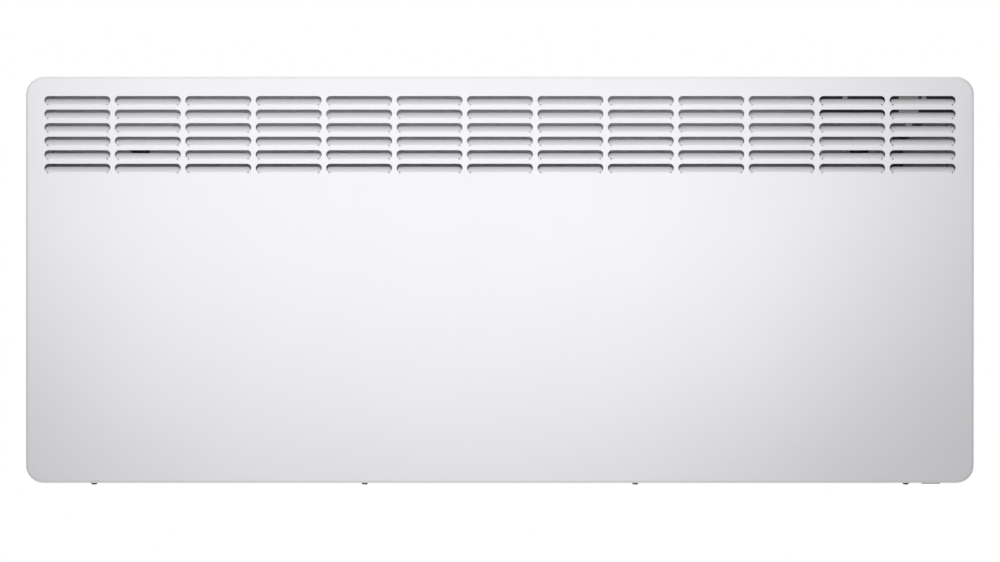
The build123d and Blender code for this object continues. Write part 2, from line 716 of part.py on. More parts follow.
def display_window():
    """The clear pane over the display, on the fascia's ledge."""
    length, width = WINDOW_SIZE
    x = span(window_x(), length - 2 * WINDOW_FIT)
    y = span(unit_middle_y(), width - 2 * WINDOW_FIT)
    return block(x, y, (COVER_TOP_INSIDE, COVER_TOP_INSIDE + WINDOW_THICKNESS))


def display_module():
    """The liquid crystal display, standing on the board under the pane."""
    length, width = WINDOW_SIZE
    margin = 2 * (WINDOW_LEDGE + WINDOW_FIT)
    x = span(window_x(), length - margin)
    y = span(unit_middle_y(), width - margin)
    return block(x, y, (board_face(), COVER_TOP_INSIDE))


def control_board():
    x, y = unit_spans()
    margin = UNIT_WALL + BOARD_GAP
    return block(inset(x, margin), inset(y, margin), (board_face() - BOARD_SHEET, board_face()))


def key_switches():
    """Four tact switches on the board, one under each key."""
    size_x, size_y, height = TACT_SIZE
    plunger_x, plunger_y, plunger_height = TACT_PLUNGER
    middle = unit_middle_y()
    switches = []
    for at in key_places():
        top = board_face() + height
        case = block(span(at, size_x), span(middle, size_y), (board_face(), top))
        plunger = block(span(at, plunger_x), span(middle, plunger_y), (top, top + plunger_height))
        switches.append(case + plunger)
    return switches


def key(at):
    """A key cap with a flange that holds it under the fascia, and a stem to its switch."""
    size_x, size_y = KEY_SIZE
    middle = unit_middle_y()
    flange_top = fascia_base_z()[0] - KEY_SEAT
    flange_z = (flange_top - KEY_FLANGE_THICKNESS, flange_top)
    cap = block(span(at, size_x), span(middle, size_y), (flange_z[0], TOP - KEY_SUNK))
    flange_x = span(at, size_x + 2 * KEY_FLANGE)
    flange = block(flange_x, span(middle, size_y + 2 * KEY_FLANGE), flange_z)
    plunger_top = board_face() + TACT_SIZE[2] + TACT_PLUNGER[2]
    stem_z = (plunger_top + KEY_TRAVEL + KEY_SEAT, flange_z[0])
    stem = block(span(at, KEY_STEM), span(middle, KEY_STEM), stem_z)
    return cap + flange + stem


def unit_clip():
    """A steel clip down the housing's front, with a narrow tongue hooked below it."""
    x, y = unit_spans()
    clip_y = (y[0] - CLIP_SHEET, y[0])
    middle = UNIT_X + CLIP_X
    foot = TOP - UNIT_HEIGHT
    plate = block(span(middle, CLIP_WIDTH), clip_y, (foot, TOP - CLIP_TOP_GAP))
    tongue = block(span(middle, CLIP_TONGUE), clip_y, (foot - CLIP_HANG, foot))
    return plate + tongue


def hexagon(at, direction, flats, thickness):
    """A hexagonal head or nut on a face."""
    outline = Plane(origin=at, z_dir=direction) * RegularPolygon(flats / 2, 6, major_radius=False)
    return extrude(outline, thickness, dir=direction)


def unit_screws():
    """Two bright hexagon-headed screws in the housing's front."""
    x, y = unit_spans()
    middle = UNIT_X + UNIT_SCREW_OFFSET
    places = [middle + side * UNIT_SCREW_SPACING / 2 for side in (-1, 1)]
    return [hexagon((at, y[0], UNIT_SCREW_Z), (0, -1, 0), *UNIT_SCREW_HEAD) for at in places]


# Power electronics, terminals and cable inlet.


def board_back():
    return PANEL_Y[0] - CARRIER_LEDGE


def board_front():
    return board_back() - BOARD_SHEET


def board_spans():
    margin = CARRIER_WALL + BOARD_GAP
    return inset(CARRIER_X, margin), inset(CARRIER_Z, margin)


def board_carrier():
    """A plastic tray on the rear panel, with a ledge under each side of the board."""
    y = (PANEL_Y[0] - CARRIER_DEPTH, PANEL_Y[0])
    inner_x = inset(CARRIER_X, CARRIER_WALL)
    inner_z = inset(CARRIER_Z, CARRIER_WALL)
    tray = block(CARRIER_X, y, CARRIER_Z)
    tray = tray - block(inner_x, (y[0], y[1] - CARRIER_WALL), inner_z)
    ledge_y = (board_back(), y[1] - CARRIER_WALL)
    left = block((inner_x[0], inner_x[0] + LEDGE_WIDTH), ledge_y, inner_z)
    right = block((inner_x[1] - LEDGE_WIDTH, inner_x[1]), ledge_y, inner_z)
    return tray + left + right


def power_board():
    x, z = board_spans()
    return block(x, (board_front(), board_back()), z)


def relay_place():
    """The relay's middle, an (x, z) point."""
    x, z = board_spans()
    return x[0] + RELAY_AT[0], z[0] + RELAY_AT[1]


def relay():
    width, depth, height = RELAY
    x, z = relay_place()
    return block(span(x, width), (board_front() - depth, board_front()), span(z, height))


def triac_heatsink():
    """An extruded comb of aluminium, fins forward."""
    width, depth, height = HEATSINK
    board_x, board_z = board_spans()
    x = board_x[1] - HEATSINK_AT[0]
    z = board_z[0] + HEATSINK_AT[1]
    y = (board_front() - depth, board_front())
    pitch = (width - HEATSINK_PLATE) / (HEATSINK_FINS - 1)
    sink_z = span(z, height)
    sink = block(span(x, width), (y[1] - HEATSINK_PLATE, y[1]), sink_z)
    for fin in range(HEATSINK_FINS):
        left = x - width / 2 + fin * pitch
        sink += block((left, left + HEATSINK_PLATE), y, sink_z)
    return sink


def trunk_x():
    x, z = board_spans()
    return (x[0] + x[1]) / 2 + PLUG[0] / 2


def board_plug():
    """The connector that the wiring from the control unit ends in."""
    width, depth, height = PLUG
    x, z = board_spans()
    return block(span(trunk_x(), width), (board_front() - depth, board_front()), (z[1] - height, z[1]))


def terminal_block():
    """A three-way block, grooved between its ways."""
    width, depth, height = TERMINAL_BLOCK
    y = (PANEL_Y[0] - depth, PANEL_Y[0])
    z = span(TERMINAL_BLOCK_Z, height)
    body = block(span(TERMINAL_BLOCK_X, width), y, z)
    for way in range(1, TERMINAL_WAYS):
        groove_at = TERMINAL_BLOCK_X - width / 2 + way * width / TERMINAL_WAYS
        body -= block(span(groove_at, TERMINAL_GROOVE), (y[0], y[0] + depth / 2), z)
    return body


def terminal_screws():
    """The clamping screws' heads, one on each way."""
    width, depth, height = TERMINAL_BLOCK
    front = PANEL_Y[0] - depth
    heads = []
    for way in range(TERMINAL_WAYS):
        middle = TERMINAL_BLOCK_X + (way + 0.5 - TERMINAL_WAYS / 2) * width / TERMINAL_WAYS
        across, proud = TERMINAL_SCREW
        z = span(TERMINAL_BLOCK_Z, across)
        heads.append(block(span(middle, across), (front - proud, front), z))
    return heads


def earth_stud():
    """A stud on the rear panel with its hexagon nut."""
    foot = (EARTH_X, PANEL_Y[0], EARTH_Z)
    stud = bar(foot, (0, -1, 0), EARTH_RADIUS, EARTH_LENGTH)
    return stud + hexagon(foot, (0, -1, 0), *EARTH_NUT)


def cable_bush():
    """A square rubber bush with a round bore, flanged inside the rear panel."""
    front = PANEL_Y[0] - BUSHING_LIP
    flange_x = span(INLET_X, BUSHING_FLANGE)
    flange = block(flange_x, (front, PANEL_Y[0]), span(INLET_Z, BUSHING_FLANGE))
    back = PANEL_Y[1] + BUSHING_LIP
    neck = block(span(INLET_X, BUSHING_NECK), (front, back), span(INLET_Z, BUSHING_NECK))
    return flange + neck - bar((INLET_X, front, INLET_Z), (0, 1, 0), INLET_BORE, back - front)


# Switch and room sensor.


def rocker_pivot():
    """A (y, z) point."""
    return switch_y(), GRILLE_Z[0] + ROCKER_PIVOT


def switch_body():
    """The switch's housing: a bezel under the grille, and a well with a hole in each cheek."""
    body_x, body_y = SWITCH_BODY
    bezel_x, bezel_y = BEZEL_SIZE
    floor = GRILLE_Z[0]
    bezel = block(span(SWITCH_X, bezel_x), span(switch_y(), bezel_y), (floor - BEZEL_THICKNESS, floor))
    body = block(span(SWITCH_X, body_x), span(switch_y(), body_y), (floor, floor + SWITCH_HEIGHT))
    well_x, well_y = SWITCH_WELL
    well_z = (floor - BEZEL_THICKNESS, floor + SWITCH_WELL_DEPTH)
    well = block(span(SWITCH_X, well_x), span(switch_y(), well_y), well_z)
    pivot_y, pivot_z = rocker_pivot()
    hole_length = well_x + 2 * (AXLE_LENGTH + AXLE_FIT)
    hole_start = (SWITCH_X - hole_length / 2, pivot_y, pivot_z)
    hole = bar(hole_start, (1, 0, 0), ROCKER_AXLE + AXLE_FIT, hole_length)
    return bezel + body - [well, hole]


def rocker():
    """The rocker at rest, switched off: its front end is raised out of the well."""
    pivot_y, pivot_z = rocker_pivot()
    tilt = math.radians(ROCKER_TILT)
    raised = pivot_z - BOTTOM + ROCKER_PROUD
    room = SWITCH_WELL[1] / 2 - ROCKER_FIT
    half = (room * math.cos(tilt) - raised * math.sin(tilt)) / math.cos(2 * tilt)
    drop = (raised * math.cos(tilt) - room * math.sin(tilt)) / math.cos(2 * tilt)
    dip = half * math.tan(tilt)
    crown = ROCKER_AXLE + ROCKER_CROWN
    points = [
        (-half, -drop),
        (0, -drop + dip),
        (half, -drop),
        (half, -drop + ROCKER_EDGE),
        (crown, crown),
        (-crown, crown),
        (-half, -drop + ROCKER_EDGE),
    ]
    width = SWITCH_WELL[0] - 2 * ROCKER_FIT
    paddle = side_profile(points, (-width / 2, width / 2))
    axle_length = SWITCH_WELL[0] + 2 * AXLE_LENGTH
    paddle += bar((-axle_length / 2, 0, 0), (1, 0, 0), ROCKER_AXLE, axle_length)
    return Pos(SWITCH_X, pivot_y, pivot_z) * (Rot(ROCKER_TILT, 0, 0) * paddle)


def switch_tab_places():
    pitch_x, pitch_y = SWITCH_TAB_PITCH
    xs = span(SWITCH_X, pitch_x)
    ys = span(switch_y(), pitch_y)
    return [(x, y) for x in xs for y in ys]


def switch_terminals():
    """Four spade tabs on top of the switch."""
    thickness, width, length = SWITCH_TAB
    top = GRILLE_Z[0] + SWITCH_HEIGHT
    return [
        block(span(x, thickness), span(y, width), (top, top + length))
        for x, y in switch_tab_places()
    ]


def sensor_y():
    return FRONT + SENSOR_FROM_FRONT


def sensor_post():
    """A plastic post on the base grille."""
    width, depth, height = SENSOR_POST
    return block(span(SENSOR_X, width), span(sensor_y(), depth), (GRILLE_Z[1], GRILLE_Z[1] + height))


def room_sensor():
    """The air thermistor, on top of its post."""
    width, depth, height = SENSOR_BULB
    foot = GRILLE_Z[1] + SENSOR_POST[2]
    return block(span(SENSOR_X, width), span(sensor_y(), depth), (foot, foot + height))


# Wiring.


def held_lead(points, size, bend):
    """A flat lead between upright ends, bent flatwise in one upright plane."""
    start, end = points[0], points[-1]
    across = (start[1] - end[1], end[0] - start[0], 0)
    path = FilletPolyline(*points, radius=bend)
    section = Plane(origin=start, x_dir=across, z_dir=(0, 0, end[2] - start[2])) * Rectangle(*size)
    return sweep(section, path=path)


def twin_lead(foot, head):
    """A flat twin lead up from one (x, y, z) point to another, slanted between its ends."""
    knee = (foot[0], foot[1], foot[2] + LEAD_STRAIGHT)
    elbow = (head[0], head[1], head[2] - LEAD_STRAIGHT)
    return held_lead([foot, knee, elbow, head], LEAD_SIZE, LEAD_BEND)


def control_trunk():
    """The sleeved wiring from the control unit down to its plug on the power board."""
    unit_foot = TOP - UNIT_HEIGHT
    plug_y = board_front() - PLUG[1] / 2
    entry_x = UNIT_X + CLIP_X + (CLIP_TONGUE + TRUNK_SIZE[0]) / 2
    points = [
        (entry_x, unit_middle_y(), unit_foot),
        (entry_x, unit_middle_y(), unit_foot - TRUNK_BEND),
        (trunk_x(), plug_y, unit_foot - TRUNK_DROP),
        (trunk_x(), plug_y, board_spans()[1][1]),
    ]
    return held_lead(points, TRUNK_SIZE, TRUNK_BEND)


def element_lead():
    """The lead from the element's two tabs up to the relay."""
    relay_x, relay_z = relay_place()
    foot = (terminal_x() + TERMINAL_LENGTH / 2, ELEMENT_Y, ELEMENT_Z + TERMINAL_WIDTH / 2)
    head = (relay_x, board_front() - RELAY[1] / 2, relay_z - RELAY[2] / 2)
    return twin_lead(foot, head)


def switch_lead():
    """The lead from the switch up to the terminal block."""
    foot = (SWITCH_X, switch_y(), GRILLE_Z[0] + SWITCH_HEIGHT)
    block_foot = TERMINAL_BLOCK_Z - TERMINAL_BLOCK[2] / 2
    head = (TERMINAL_BLOCK_X, PANEL_Y[0] - TERMINAL_BLOCK[1] / 2, block_foot)
    return twin_lead(foot, head)


# Wall bracket and catches.


def catch_y():
    """The catch's plate, just in front of the channel's web."""
    back = -BRACKET_SHEET - CATCH_SLIP
    return (back - CATCH_SHEET, back)


def bridge_y():
    back = catch_y()[0] - CATCH_SLIP
    return (back - BRACKET_SHEET, back)


def hook_outline():
    """A hook in the plane of the channel's side: an arm forward and a tab up."""
    arm = -LEG_DEPTH - HOOK_GAP
    tip = arm - HOOK_TAB
    return [
        (-LEG_DEPTH, HOOK_SEAT),
        (arm, HOOK_SEAT),
        (arm, HOOK_SEAT + HOOK_RISE),
        (arm - HOOK_TIP, HOOK_SEAT + HOOK_RISE),
        (tip, HOOK_SEAT + HOOK_RISE - HOOK_TAPER),
        (tip, LEG_BOTTOM),
        (-LEG_DEPTH, LEG_BOTTOM),
    ]


def bracket_leg():
    """The right-hand channel: hooks at its foot, bridges for the catch and slotted screw holes."""
    x = span(LEG_X, LEG_WIDTH)
    z = (LEG_BOTTOM, LEG_TOP)
    web = (-BRACKET_SHEET, 0)
    leg = block(x, (-LEG_DEPTH, 0), z)
    leg = leg - block(inset(x, BRACKET_SHEET), (-LEG_DEPTH, web[0]), z)
    sides = [(x[0], x[0] + BRACKET_SHEET), (x[1] - BRACKET_SHEET, x[1])]
    for side in sides:
        leg += side_profile(hook_outline(), side)
    post_width = (CATCH_WIDTH + 2 * CATCH_SLIP) / 2
    outer = span(LEG_X, 2 * (post_width + BRACKET_SHEET))
    inner = inset(outer, BRACKET_SHEET)
    for low in BRIDGE_Z:
        bridge_z = (low, low + BRIDGE_HEIGHT)
        bridge = block(outer, (bridge_y()[0], web[0]), bridge_z)
        leg += bridge - block(inner, (bridge_y()[1], web[0]), bridge_z)
    stop_y = (bridge_y()[0] - SPRING_LUG[1], bridge_y()[0])
    leg += block(span(LEG_X, SPRING_LUG[0]), stop_y, (BRIDGE_Z[1], BRIDGE_Z[1] + BRACKET_SHEET))
    slot = SlotOverall(WALL_SLOT_LENGTH, 2 * WALL_SLOT_RADIUS)
    for side in (-1, 1):
        place = Plane(origin=(LEG_X, web[0], side * WALL_HOLE_RISE / 2), x_dir=(1, 0, 0), z_dir=(0, 1, 0))
        leg -= extrude(place * slot, BRACKET_SHEET)
    return leg


def bracket_rail(z_middle):
    """A shallow channel between the legs, closed at both ends where it is welded to them."""
    x = inset((-LEG_X, LEG_X), LEG_WIDTH / 2)
    z = span(z_middle, RAIL_HEIGHT)
    hollow = block(inset(x, BRACKET_SHEET), (-RAIL_DEPTH, -BRACKET_SHEET), inset(z, BRACKET_SHEET))
    return block(x, (-RAIL_DEPTH, 0), z) - hollow


def catch():
    """The right-hand catch: a plate with a nose hooked down behind the window's lower edge."""
    y = catch_y()
    plate = block(span(LEG_X, CATCH_WIDTH), y, (CATCH_BOTTOM, CATCH_TOP))
    grip = block(span(LEG_X, CATCH_WIDTH), (y[0] - CATCH_GRIP, y[0]), (CATCH_TOP - CATCH_SHEET, CATCH_TOP))
    lug_y = (bridge_y()[0] - SPRING_LUG[1], y[0])
    lug = block(span(LEG_X, SPRING_LUG[0]), lug_y, (SPRING_LUG_Z - CATCH_SHEET, SPRING_LUG_Z))
    nose_back = PANEL_Y[0] - CATCH_PLAY
    nose_x = span(LEG_X, CATCH_NOSE_WIDTH)
    nose_top = CATCH_NOSE_Z + CATCH_SHEET
    shelf = block(nose_x, (nose_back - CATCH_SHEET, y[0]), (CATCH_NOSE_Z, nose_top))
    finger_z = (WINDOW_Z[0] - CATCH_BITE, nose_top)
    finger = block(nose_x, (nose_back - CATCH_SHEET, nose_back), finger_z)
    return plate + grip + lug + shelf + finger


def catch_spring():
    """A bent spring strip between the catch's lug and the channel's stop."""
    low, high = SPRING_LUG_Z, BRIDGE_Z[1]
    middle = (low + high) / 2
    left, right = span(LEG_X, SPRING_WIDTH)
    slope = (middle - low) / SPRING_WIDTH
    inside = left + (middle - low - SPRING_STRIP) / slope
    points = [
        (left, low),
        (right, middle),
        (left, high),
        (left, high - SPRING_STRIP),
        (inside, middle),
        (left, low + SPRING_STRIP),
    ]
    front = bridge_y()[0] - SPRING_LUG[1]
    return front_profile(points, inset((front, bridge_y()[0]), SPRING_MARGIN))


PIECES = {
    "front_cover": front_cover(),
    "cover_screws": cover_screws(),
    "rear_panel": rear_panel(),
    "base_grille": base_grille(),
    "duct_end_left": duct_end_left(),
    "partition": partition(),
    "heat_shield": heat_shield(),
    "heating_element": heating_element(),
    "element_sheath": element_sheath(),
    "element_bushes": [element_bush(DUCT_LEFT), element_bush(DUCT_RIGHT)],
    "element_terminals": element_terminals(),
    "thermal_cutout": thermal_cutout(),
    "control_housing": control_housing(),
    "control_fascia": control_fascia(),
    "display_window": display_window(),
    "display_module": display_module(),
    "control_board": control_board(),
    "key_switches": key_switches(),
    "unit_clip": unit_clip(),
    "unit_screws": unit_screws(),
    "board_carrier": board_carrier(),
    "power_board": power_board(),
    "relay": relay(),
    "triac_heatsink": triac_heatsink(),
    "board_plug": board_plug(),
    "terminal_block": terminal_block(),
    "terminal_screws": terminal_screws(),
    "earth_stud": earth_stud(),
    "cable_bush": cable_bush(),
    "switch_body": switch_body(),
    "switch_terminals": switch_terminals(),
    "rocker": rocker(),
    "sensor_post": sensor_post(),
    "room_sensor": room_sensor(),
    "control_trunk": control_trunk(),
    "element_lead": element_lead(),
    "switch_lead": switch_lead(),
    "bracket_leg_right": bracket_leg(),
    "bracket_leg_left": mirrored(bracket_leg()),
    "bracket_rail_upper": bracket_rail(RAIL_SPACING / 2),
    "bracket_rail_lower": bracket_rail(-RAIL_SPACING / 2),
    "catch_right": catch(),
    "catch_left": mirrored(catch()),
    "catch_spring_right": catch_spring(),
    "catch_spring_left": mirrored(catch_spring()),
}
for name, at in zip(KEY_NAMES, key_places()):
    PIECES[name] = key(at)

for name, piece in PIECES.items():
    solids = piece if isinstance(piece, list) else [piece]
    export_step(Compound(children=solids), f"parts/{name}.step")
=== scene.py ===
import math
import bpy
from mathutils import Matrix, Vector


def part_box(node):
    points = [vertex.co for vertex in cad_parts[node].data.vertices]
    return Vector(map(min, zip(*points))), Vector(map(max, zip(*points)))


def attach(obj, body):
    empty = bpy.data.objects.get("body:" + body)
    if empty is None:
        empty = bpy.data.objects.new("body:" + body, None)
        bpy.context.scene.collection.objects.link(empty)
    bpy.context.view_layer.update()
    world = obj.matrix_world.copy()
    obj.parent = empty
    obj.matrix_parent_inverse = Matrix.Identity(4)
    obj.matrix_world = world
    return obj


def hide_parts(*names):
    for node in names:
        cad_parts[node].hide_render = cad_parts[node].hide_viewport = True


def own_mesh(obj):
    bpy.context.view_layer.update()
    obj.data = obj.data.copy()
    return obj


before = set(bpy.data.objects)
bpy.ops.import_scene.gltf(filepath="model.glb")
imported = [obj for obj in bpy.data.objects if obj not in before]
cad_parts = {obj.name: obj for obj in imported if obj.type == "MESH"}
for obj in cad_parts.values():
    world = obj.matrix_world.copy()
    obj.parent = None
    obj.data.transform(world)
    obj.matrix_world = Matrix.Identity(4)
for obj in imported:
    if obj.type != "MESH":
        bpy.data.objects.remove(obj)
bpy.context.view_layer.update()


# ---------------------------------------------------------------------------
# Front cover. One sheet of steel, folded back all round into a pan, with 78
# louvres lanced and bent in across its top. Satin white powder coat.

MM = 0.001
RIGHT, BACK, UP = Vector((1, 0, 0)), Vector((0, 1, 0)), Vector((0, 0, 1))
SQUARE_ON = 0.99  # how nearly a face or an edge has to follow a direction
STRAIGHT = 0.01  # the turn, in radians, up to which edges in a row count as one
TINY = 0.01 * MM
cover_low, cover_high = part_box("front_cover")
FRONT_Y = cover_low.y
COVER_SHEET = 1.0 * MM
SHEARED_EDGE, SHEARED_STEPS, SHEARED_LIMIT = 0.14 * MM, 2, math.radians(30)
CORNER_RADIUS, CORNER_STEPS = 20 * MM, 16
EDGE_RADIUS, EDGE_STEPS = 3.2 * MM, 5
COLUMNS, ROWS = 13, 6
PITCH_X, PITCH_Z = 78 * MM, 15 * MM
SLOT_LENGTH, SLOT_HEIGHT, SLOT_END_STEPS = 73 * MM, 9.4 * MM, 8
FIRST_SLOT_TOP = cover_high.z - 21.4 * MM
KERF, END_KERF = 0.4 * MM, 0.9 * MM
NECK_X, RELIEF = 32.2 * MM, 1.0 * MM
NICK_WIDTH, NICK_DEPTH, NICK_CUTS = 1.6 * MM, 1.2 * MM, (0, 0.25, 0.75, 1)
FOLD_LEAN, TIP_LEAN, CURVE_STEPS = math.radians(38), math.radians(55), 6
SMOOTH_LIMIT = math.radians(35)


def activate(piece):
    """Makes a piece the only selected one, and active."""
    for other in bpy.context.selected_objects:
        other.select_set(False)
    piece.select_set(True)
    bpy.context.view_layer.objects.active = piece


def in_edit_mode(piece):
    activate(piece)
    bpy.ops.object.mode_set(mode="EDIT")
    bpy.ops.mesh.select_all(action="SELECT")


def pick(piece, kind, wanted):
    """Goes into edit mode with those vertices, edges or faces selected that a test wants."""
    in_edit_mode(piece)
    bpy.ops.mesh.select_mode(type=kind)
    bpy.ops.mesh.select_all(action="DESELECT")
    bpy.ops.object.mode_set(mode="OBJECT")
    mesh = piece.data
    for part in {"VERT": mesh.vertices, "EDGE": mesh.edges, "FACE": mesh.polygons}[kind]:
        part.select = wanted(part)
    bpy.ops.object.mode_set(mode="EDIT")


def edge_ends(piece, edge):
    return [piece.data.vertices[n].co for n in edge.vertices]


def edge_middle(piece, edge):
    first, second = edge_ends(piece, edge)
    return (first + second) / 2


def runs(piece, edge, way):
    """Whether an edge lies along a direction."""
    first, second = edge_ends(piece, edge)
    return abs((second - first).normalized().dot(way)) > SQUARE_ON


def looks(face, way):
    """Whether a face is turned square to a direction."""
    return face.normal.dot(way) > SQUARE_ON


def looks_front(face):
    return looks(face, -BACK)


def any_face(face):
    return True


def cut_lines(piece, wanted, way, places):
    """Cuts the faces that a test wants, square to a direction, at each place along it."""
    for place in places:
        pick(piece, "FACE", wanted)
        bpy.ops.mesh.bisect(plane_co=way * place, plane_no=way)
        bpy.ops.object.mode_set(mode="OBJECT")


def delete_faces(piece, wanted):
    pick(piece, "FACE", wanted)
    bpy.ops.mesh.delete(type="FACE")
    bpy.ops.object.mode_set(mode="OBJECT")


def round_edges(piece, wanted, radius, steps):
    pick(piece, "EDGE", wanted)
    bpy.ops.mesh.bevel(offset=radius, segments=steps)
    bpy.ops.object.mode_set(mode="OBJECT")


def apply_modifier(piece, kind, **settings):
    activate(piece)
    modifier = piece.modifiers.new(kind.title(), kind)
    for name, value in settings.items():
        setattr(modifier, name, value)
    bpy.ops.object.modifier_apply(modifier=modifier.name)


def settled(name, size=(1, 1, 1)):
    """Names the shape just added, sizes it, and moves its place and turn into its mesh."""
    made = bpy.context.object
    made.name = name
    made.scale = size
    bpy.ops.object.transform_apply(location=True, rotation=True, scale=True)
    return made


def block(name, size, middle, turn=(0, 0, 0)):
    bpy.ops.mesh.primitive_cube_add(size=1, location=middle, rotation=turn)
    return settled(name, size)


def join(first, others):
    activate(first)
    for other in others:
        other.select_set(True)
    bpy.ops.object.join()


def moved_copy(piece, step):
    """A copy with its own mesh, moved by a step."""
    twin = piece.copy()
    twin.data = piece.data.copy()
    bpy.context.collection.objects.link(twin)
    activate(twin)
    twin.location = step
    bpy.ops.object.transform_apply(location=True, rotation=False, scale=False)
    return twin


def smooth(piece, limit):
    """Shades a piece smooth, except across edges that are sharper than a limit."""
    activate(piece)
    bpy.ops.object.shade_smooth_by_angle(angle=limit)


def sheet_face(name, width, height, middle):
    """A flat rectangle that faces the room."""
    bpy.ops.mesh.primitive_plane_add(size=1, location=middle, rotation=(math.pi / 2, 0, 0))
    return settled(name, (width, height, 1))


def slot_shape(name, length, height, middle):
    """A flat shape with round ends that faces the room."""
    shape = sheet_face(name, length, height, middle)
    in_edit_mode(shape)
    bpy.ops.mesh.bevel(offset=height / 2 - TINY, segments=SLOT_END_STEPS, affect="VERTICES")
    bpy.ops.mesh.remove_doubles(threshold=TINY)
    bpy.ops.object.mode_set(mode="OBJECT")
    return shape


def tongue_bends(height):
    """How far up the tongue each bend lies, and its turn: a sharp fold, then a slow curve."""
    rise = height / (CURVE_STEPS + 1)
    curve = (TIP_LEAN - FOLD_LEAN) / CURVE_STEPS
    return [(0, FOLD_LEAN)] + [(step * rise, curve) for step in range(1, CURVE_STEPS + 1)]


def louvre_tongue(middle_x, hinge_z):
    """The flap of one louvre: its outline sheared, then bent in row by row about its lower edge."""
    height = SLOT_HEIGHT - KERF
    middle = (middle_x, FRONT_Y, hinge_z + height / 2)
    tongue = slot_shape("tongue", SLOT_LENGTH - 2 * END_KERF, height, middle)
    bends = tongue_bends(height)
    rises = [RELIEF] + [rise for rise, turn in bends[1:]]
    cut_lines(tongue, any_face, RIGHT, [middle_x - NECK_X, middle_x + NECK_X])
    cut_lines(tongue, any_face, UP, [hinge_z + rise for rise in rises])
    delete_faces(
        tongue,
        lambda face: abs(face.center.x - middle_x) > NECK_X and face.center.z < hinge_z + RELIEF,
    )
    height_of = {v.index: v.co.z - hinge_z for v in tongue.data.vertices}
    fold = Vector((middle_x, FRONT_Y, hinge_z))
    turned, last = 0.0, 0.0
    for rise, turn in bends:
        fold = fold + Vector((0, math.sin(turned), math.cos(turned))) * (rise - last)
        pick(tongue, "VERT", lambda v: height_of[v.index] > rise + TINY)
        bpy.ops.transform.rotate(
            value=turn,
            orient_axis="X",
            orient_type="GLOBAL",
            center_override=fold,
        )
        bpy.ops.object.mode_set(mode="OBJECT")
        turned += turn
        last = rise
    return tongue


def nicked(slot, middle_x, hinge_z):
    """Lets the cut run on a little below the fold, at each end of it."""
    marks = [NECK_X + share * NICK_WIDTH for share in NICK_CUTS]
    cut_lines(slot, any_face, RIGHT, [middle_x + side * mark for side in (-1, 1) for mark in marks])
    pick(
        slot,
        "VERT",
        lambda v: v.co.z < hinge_z + NICK_DEPTH
        and marks[0] + TINY < abs(v.co.x - middle_x) < marks[-1] - TINY,
    )
    bpy.ops.transform.translate(value=(0, 0, -NICK_DEPTH))
    bpy.ops.mesh.select_all(action="SELECT")
    bpy.ops.mesh.dissolve_limited(angle_limit=STRAIGHT, use_dissolve_boundaries=False)
    bpy.ops.object.mode_set(mode="OBJECT")


def louvre_tile(middle_x, hinge_z):
    """One louvre with the sheet round it, as a single skin."""
    middle_z = hinge_z + SLOT_HEIGHT / 2
    tile = sheet_face("tile", PITCH_X, PITCH_Z, (middle_x, FRONT_Y, middle_z))
    slot = slot_shape("slot", SLOT_LENGTH, SLOT_HEIGHT, (middle_x, FRONT_Y, middle_z))
    nicked(slot, middle_x, hinge_z)
    join(tile, [slot])
    in_edit_mode(tile)
    bpy.ops.mesh.delete(type="ONLY_FACE")
    bpy.ops.mesh.select_all(action="SELECT")
    bpy.ops.mesh.fill(use_beauty=True)
    bpy.ops.object.mode_set(mode="OBJECT")
    delete_faces(
        tile,
        lambda face: abs(face.center.x - middle_x) < (SLOT_LENGTH - SLOT_HEIGHT) / 2
        and abs(face.center.z - middle_z) < SLOT_HEIGHT / 2 - TINY,
    )
    join(tile, [louvre_tongue(middle_x, hinge_z)])
    return tile


cover = block("front_cover_sheet", cover_high - cover_low, (cover_low + cover_high) / 2)
round_edges(cover, lambda edge: runs(cover, edge, BACK), CORNER_RADIUS, CORNER_STEPS)
delete_faces(cover, lambda face: looks(face, BACK))
round_edges(
    cover,
    lambda edge: abs(edge_middle(cover, edge).y - FRONT_Y) < TINY,
    EDGE_RADIUS,
    EDGE_STEPS,
)
field_left = -COLUMNS * PITCH_X / 2
field_top = FIRST_SLOT_TOP + (PITCH_Z - SLOT_HEIGHT) / 2
field_bottom = field_top - ROWS * PITCH_Z
cut_lines(cover, looks_front, RIGHT, [field_left + n * PITCH_X for n in range(COLUMNS + 1)])
cut_lines(cover, looks_front, UP, [field_top - n * PITCH_Z for n in range(ROWS + 1)])
delete_faces(
    cover,
    lambda face: looks_front(face)
    and abs(face.center.x) < -field_left
    and field_bottom < face.center.z < field_top,
)

# The opening for the controls in the top, the open underside, and a notch for each cover screw.
FASCIA_MARGIN, FASCIA_RAIL = 10 * MM, 5 * MM
BOTTOM_FLANGE, FLANGE_END_GAP = 22 * MM, 1.3 * MM
NOTCH_WIDTH = 4.6 * MM
SCREWS, SCREW_PITCH, SCREW_SETBACK = 4, 300 * MM, 13 * MM
screw_xs = [(n - (SCREWS - 1) / 2) * SCREW_PITCH for n in range(SCREWS)]
unit_low, unit_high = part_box("control_fascia")
opening_x = (unit_low.x + FASCIA_MARGIN, unit_high.x - FASCIA_MARGIN)
opening_y = (unit_low.y + FASCIA_RAIL, unit_high.y - FASCIA_RAIL)
cut_lines(cover, lambda face: looks(face, UP), RIGHT, opening_x)
cut_lines(cover, lambda face: looks(face, UP), BACK, opening_y)
delete_faces(
    cover,
    lambda face: looks(face, UP)
    and opening_x[0] < face.center.x < opening_x[1]
    and opening_y[0] < face.center.y < opening_y[1],
)
flange_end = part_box("base_grille")[1].x + FLANGE_END_GAP
flange_back = FRONT_Y + BOTTOM_FLANGE
notch_front = FRONT_Y + SCREW_SETBACK - NOTCH_WIDTH / 2
notch_sides = [x + side * NOTCH_WIDTH / 2 for x in screw_xs for side in (-1, 1)]


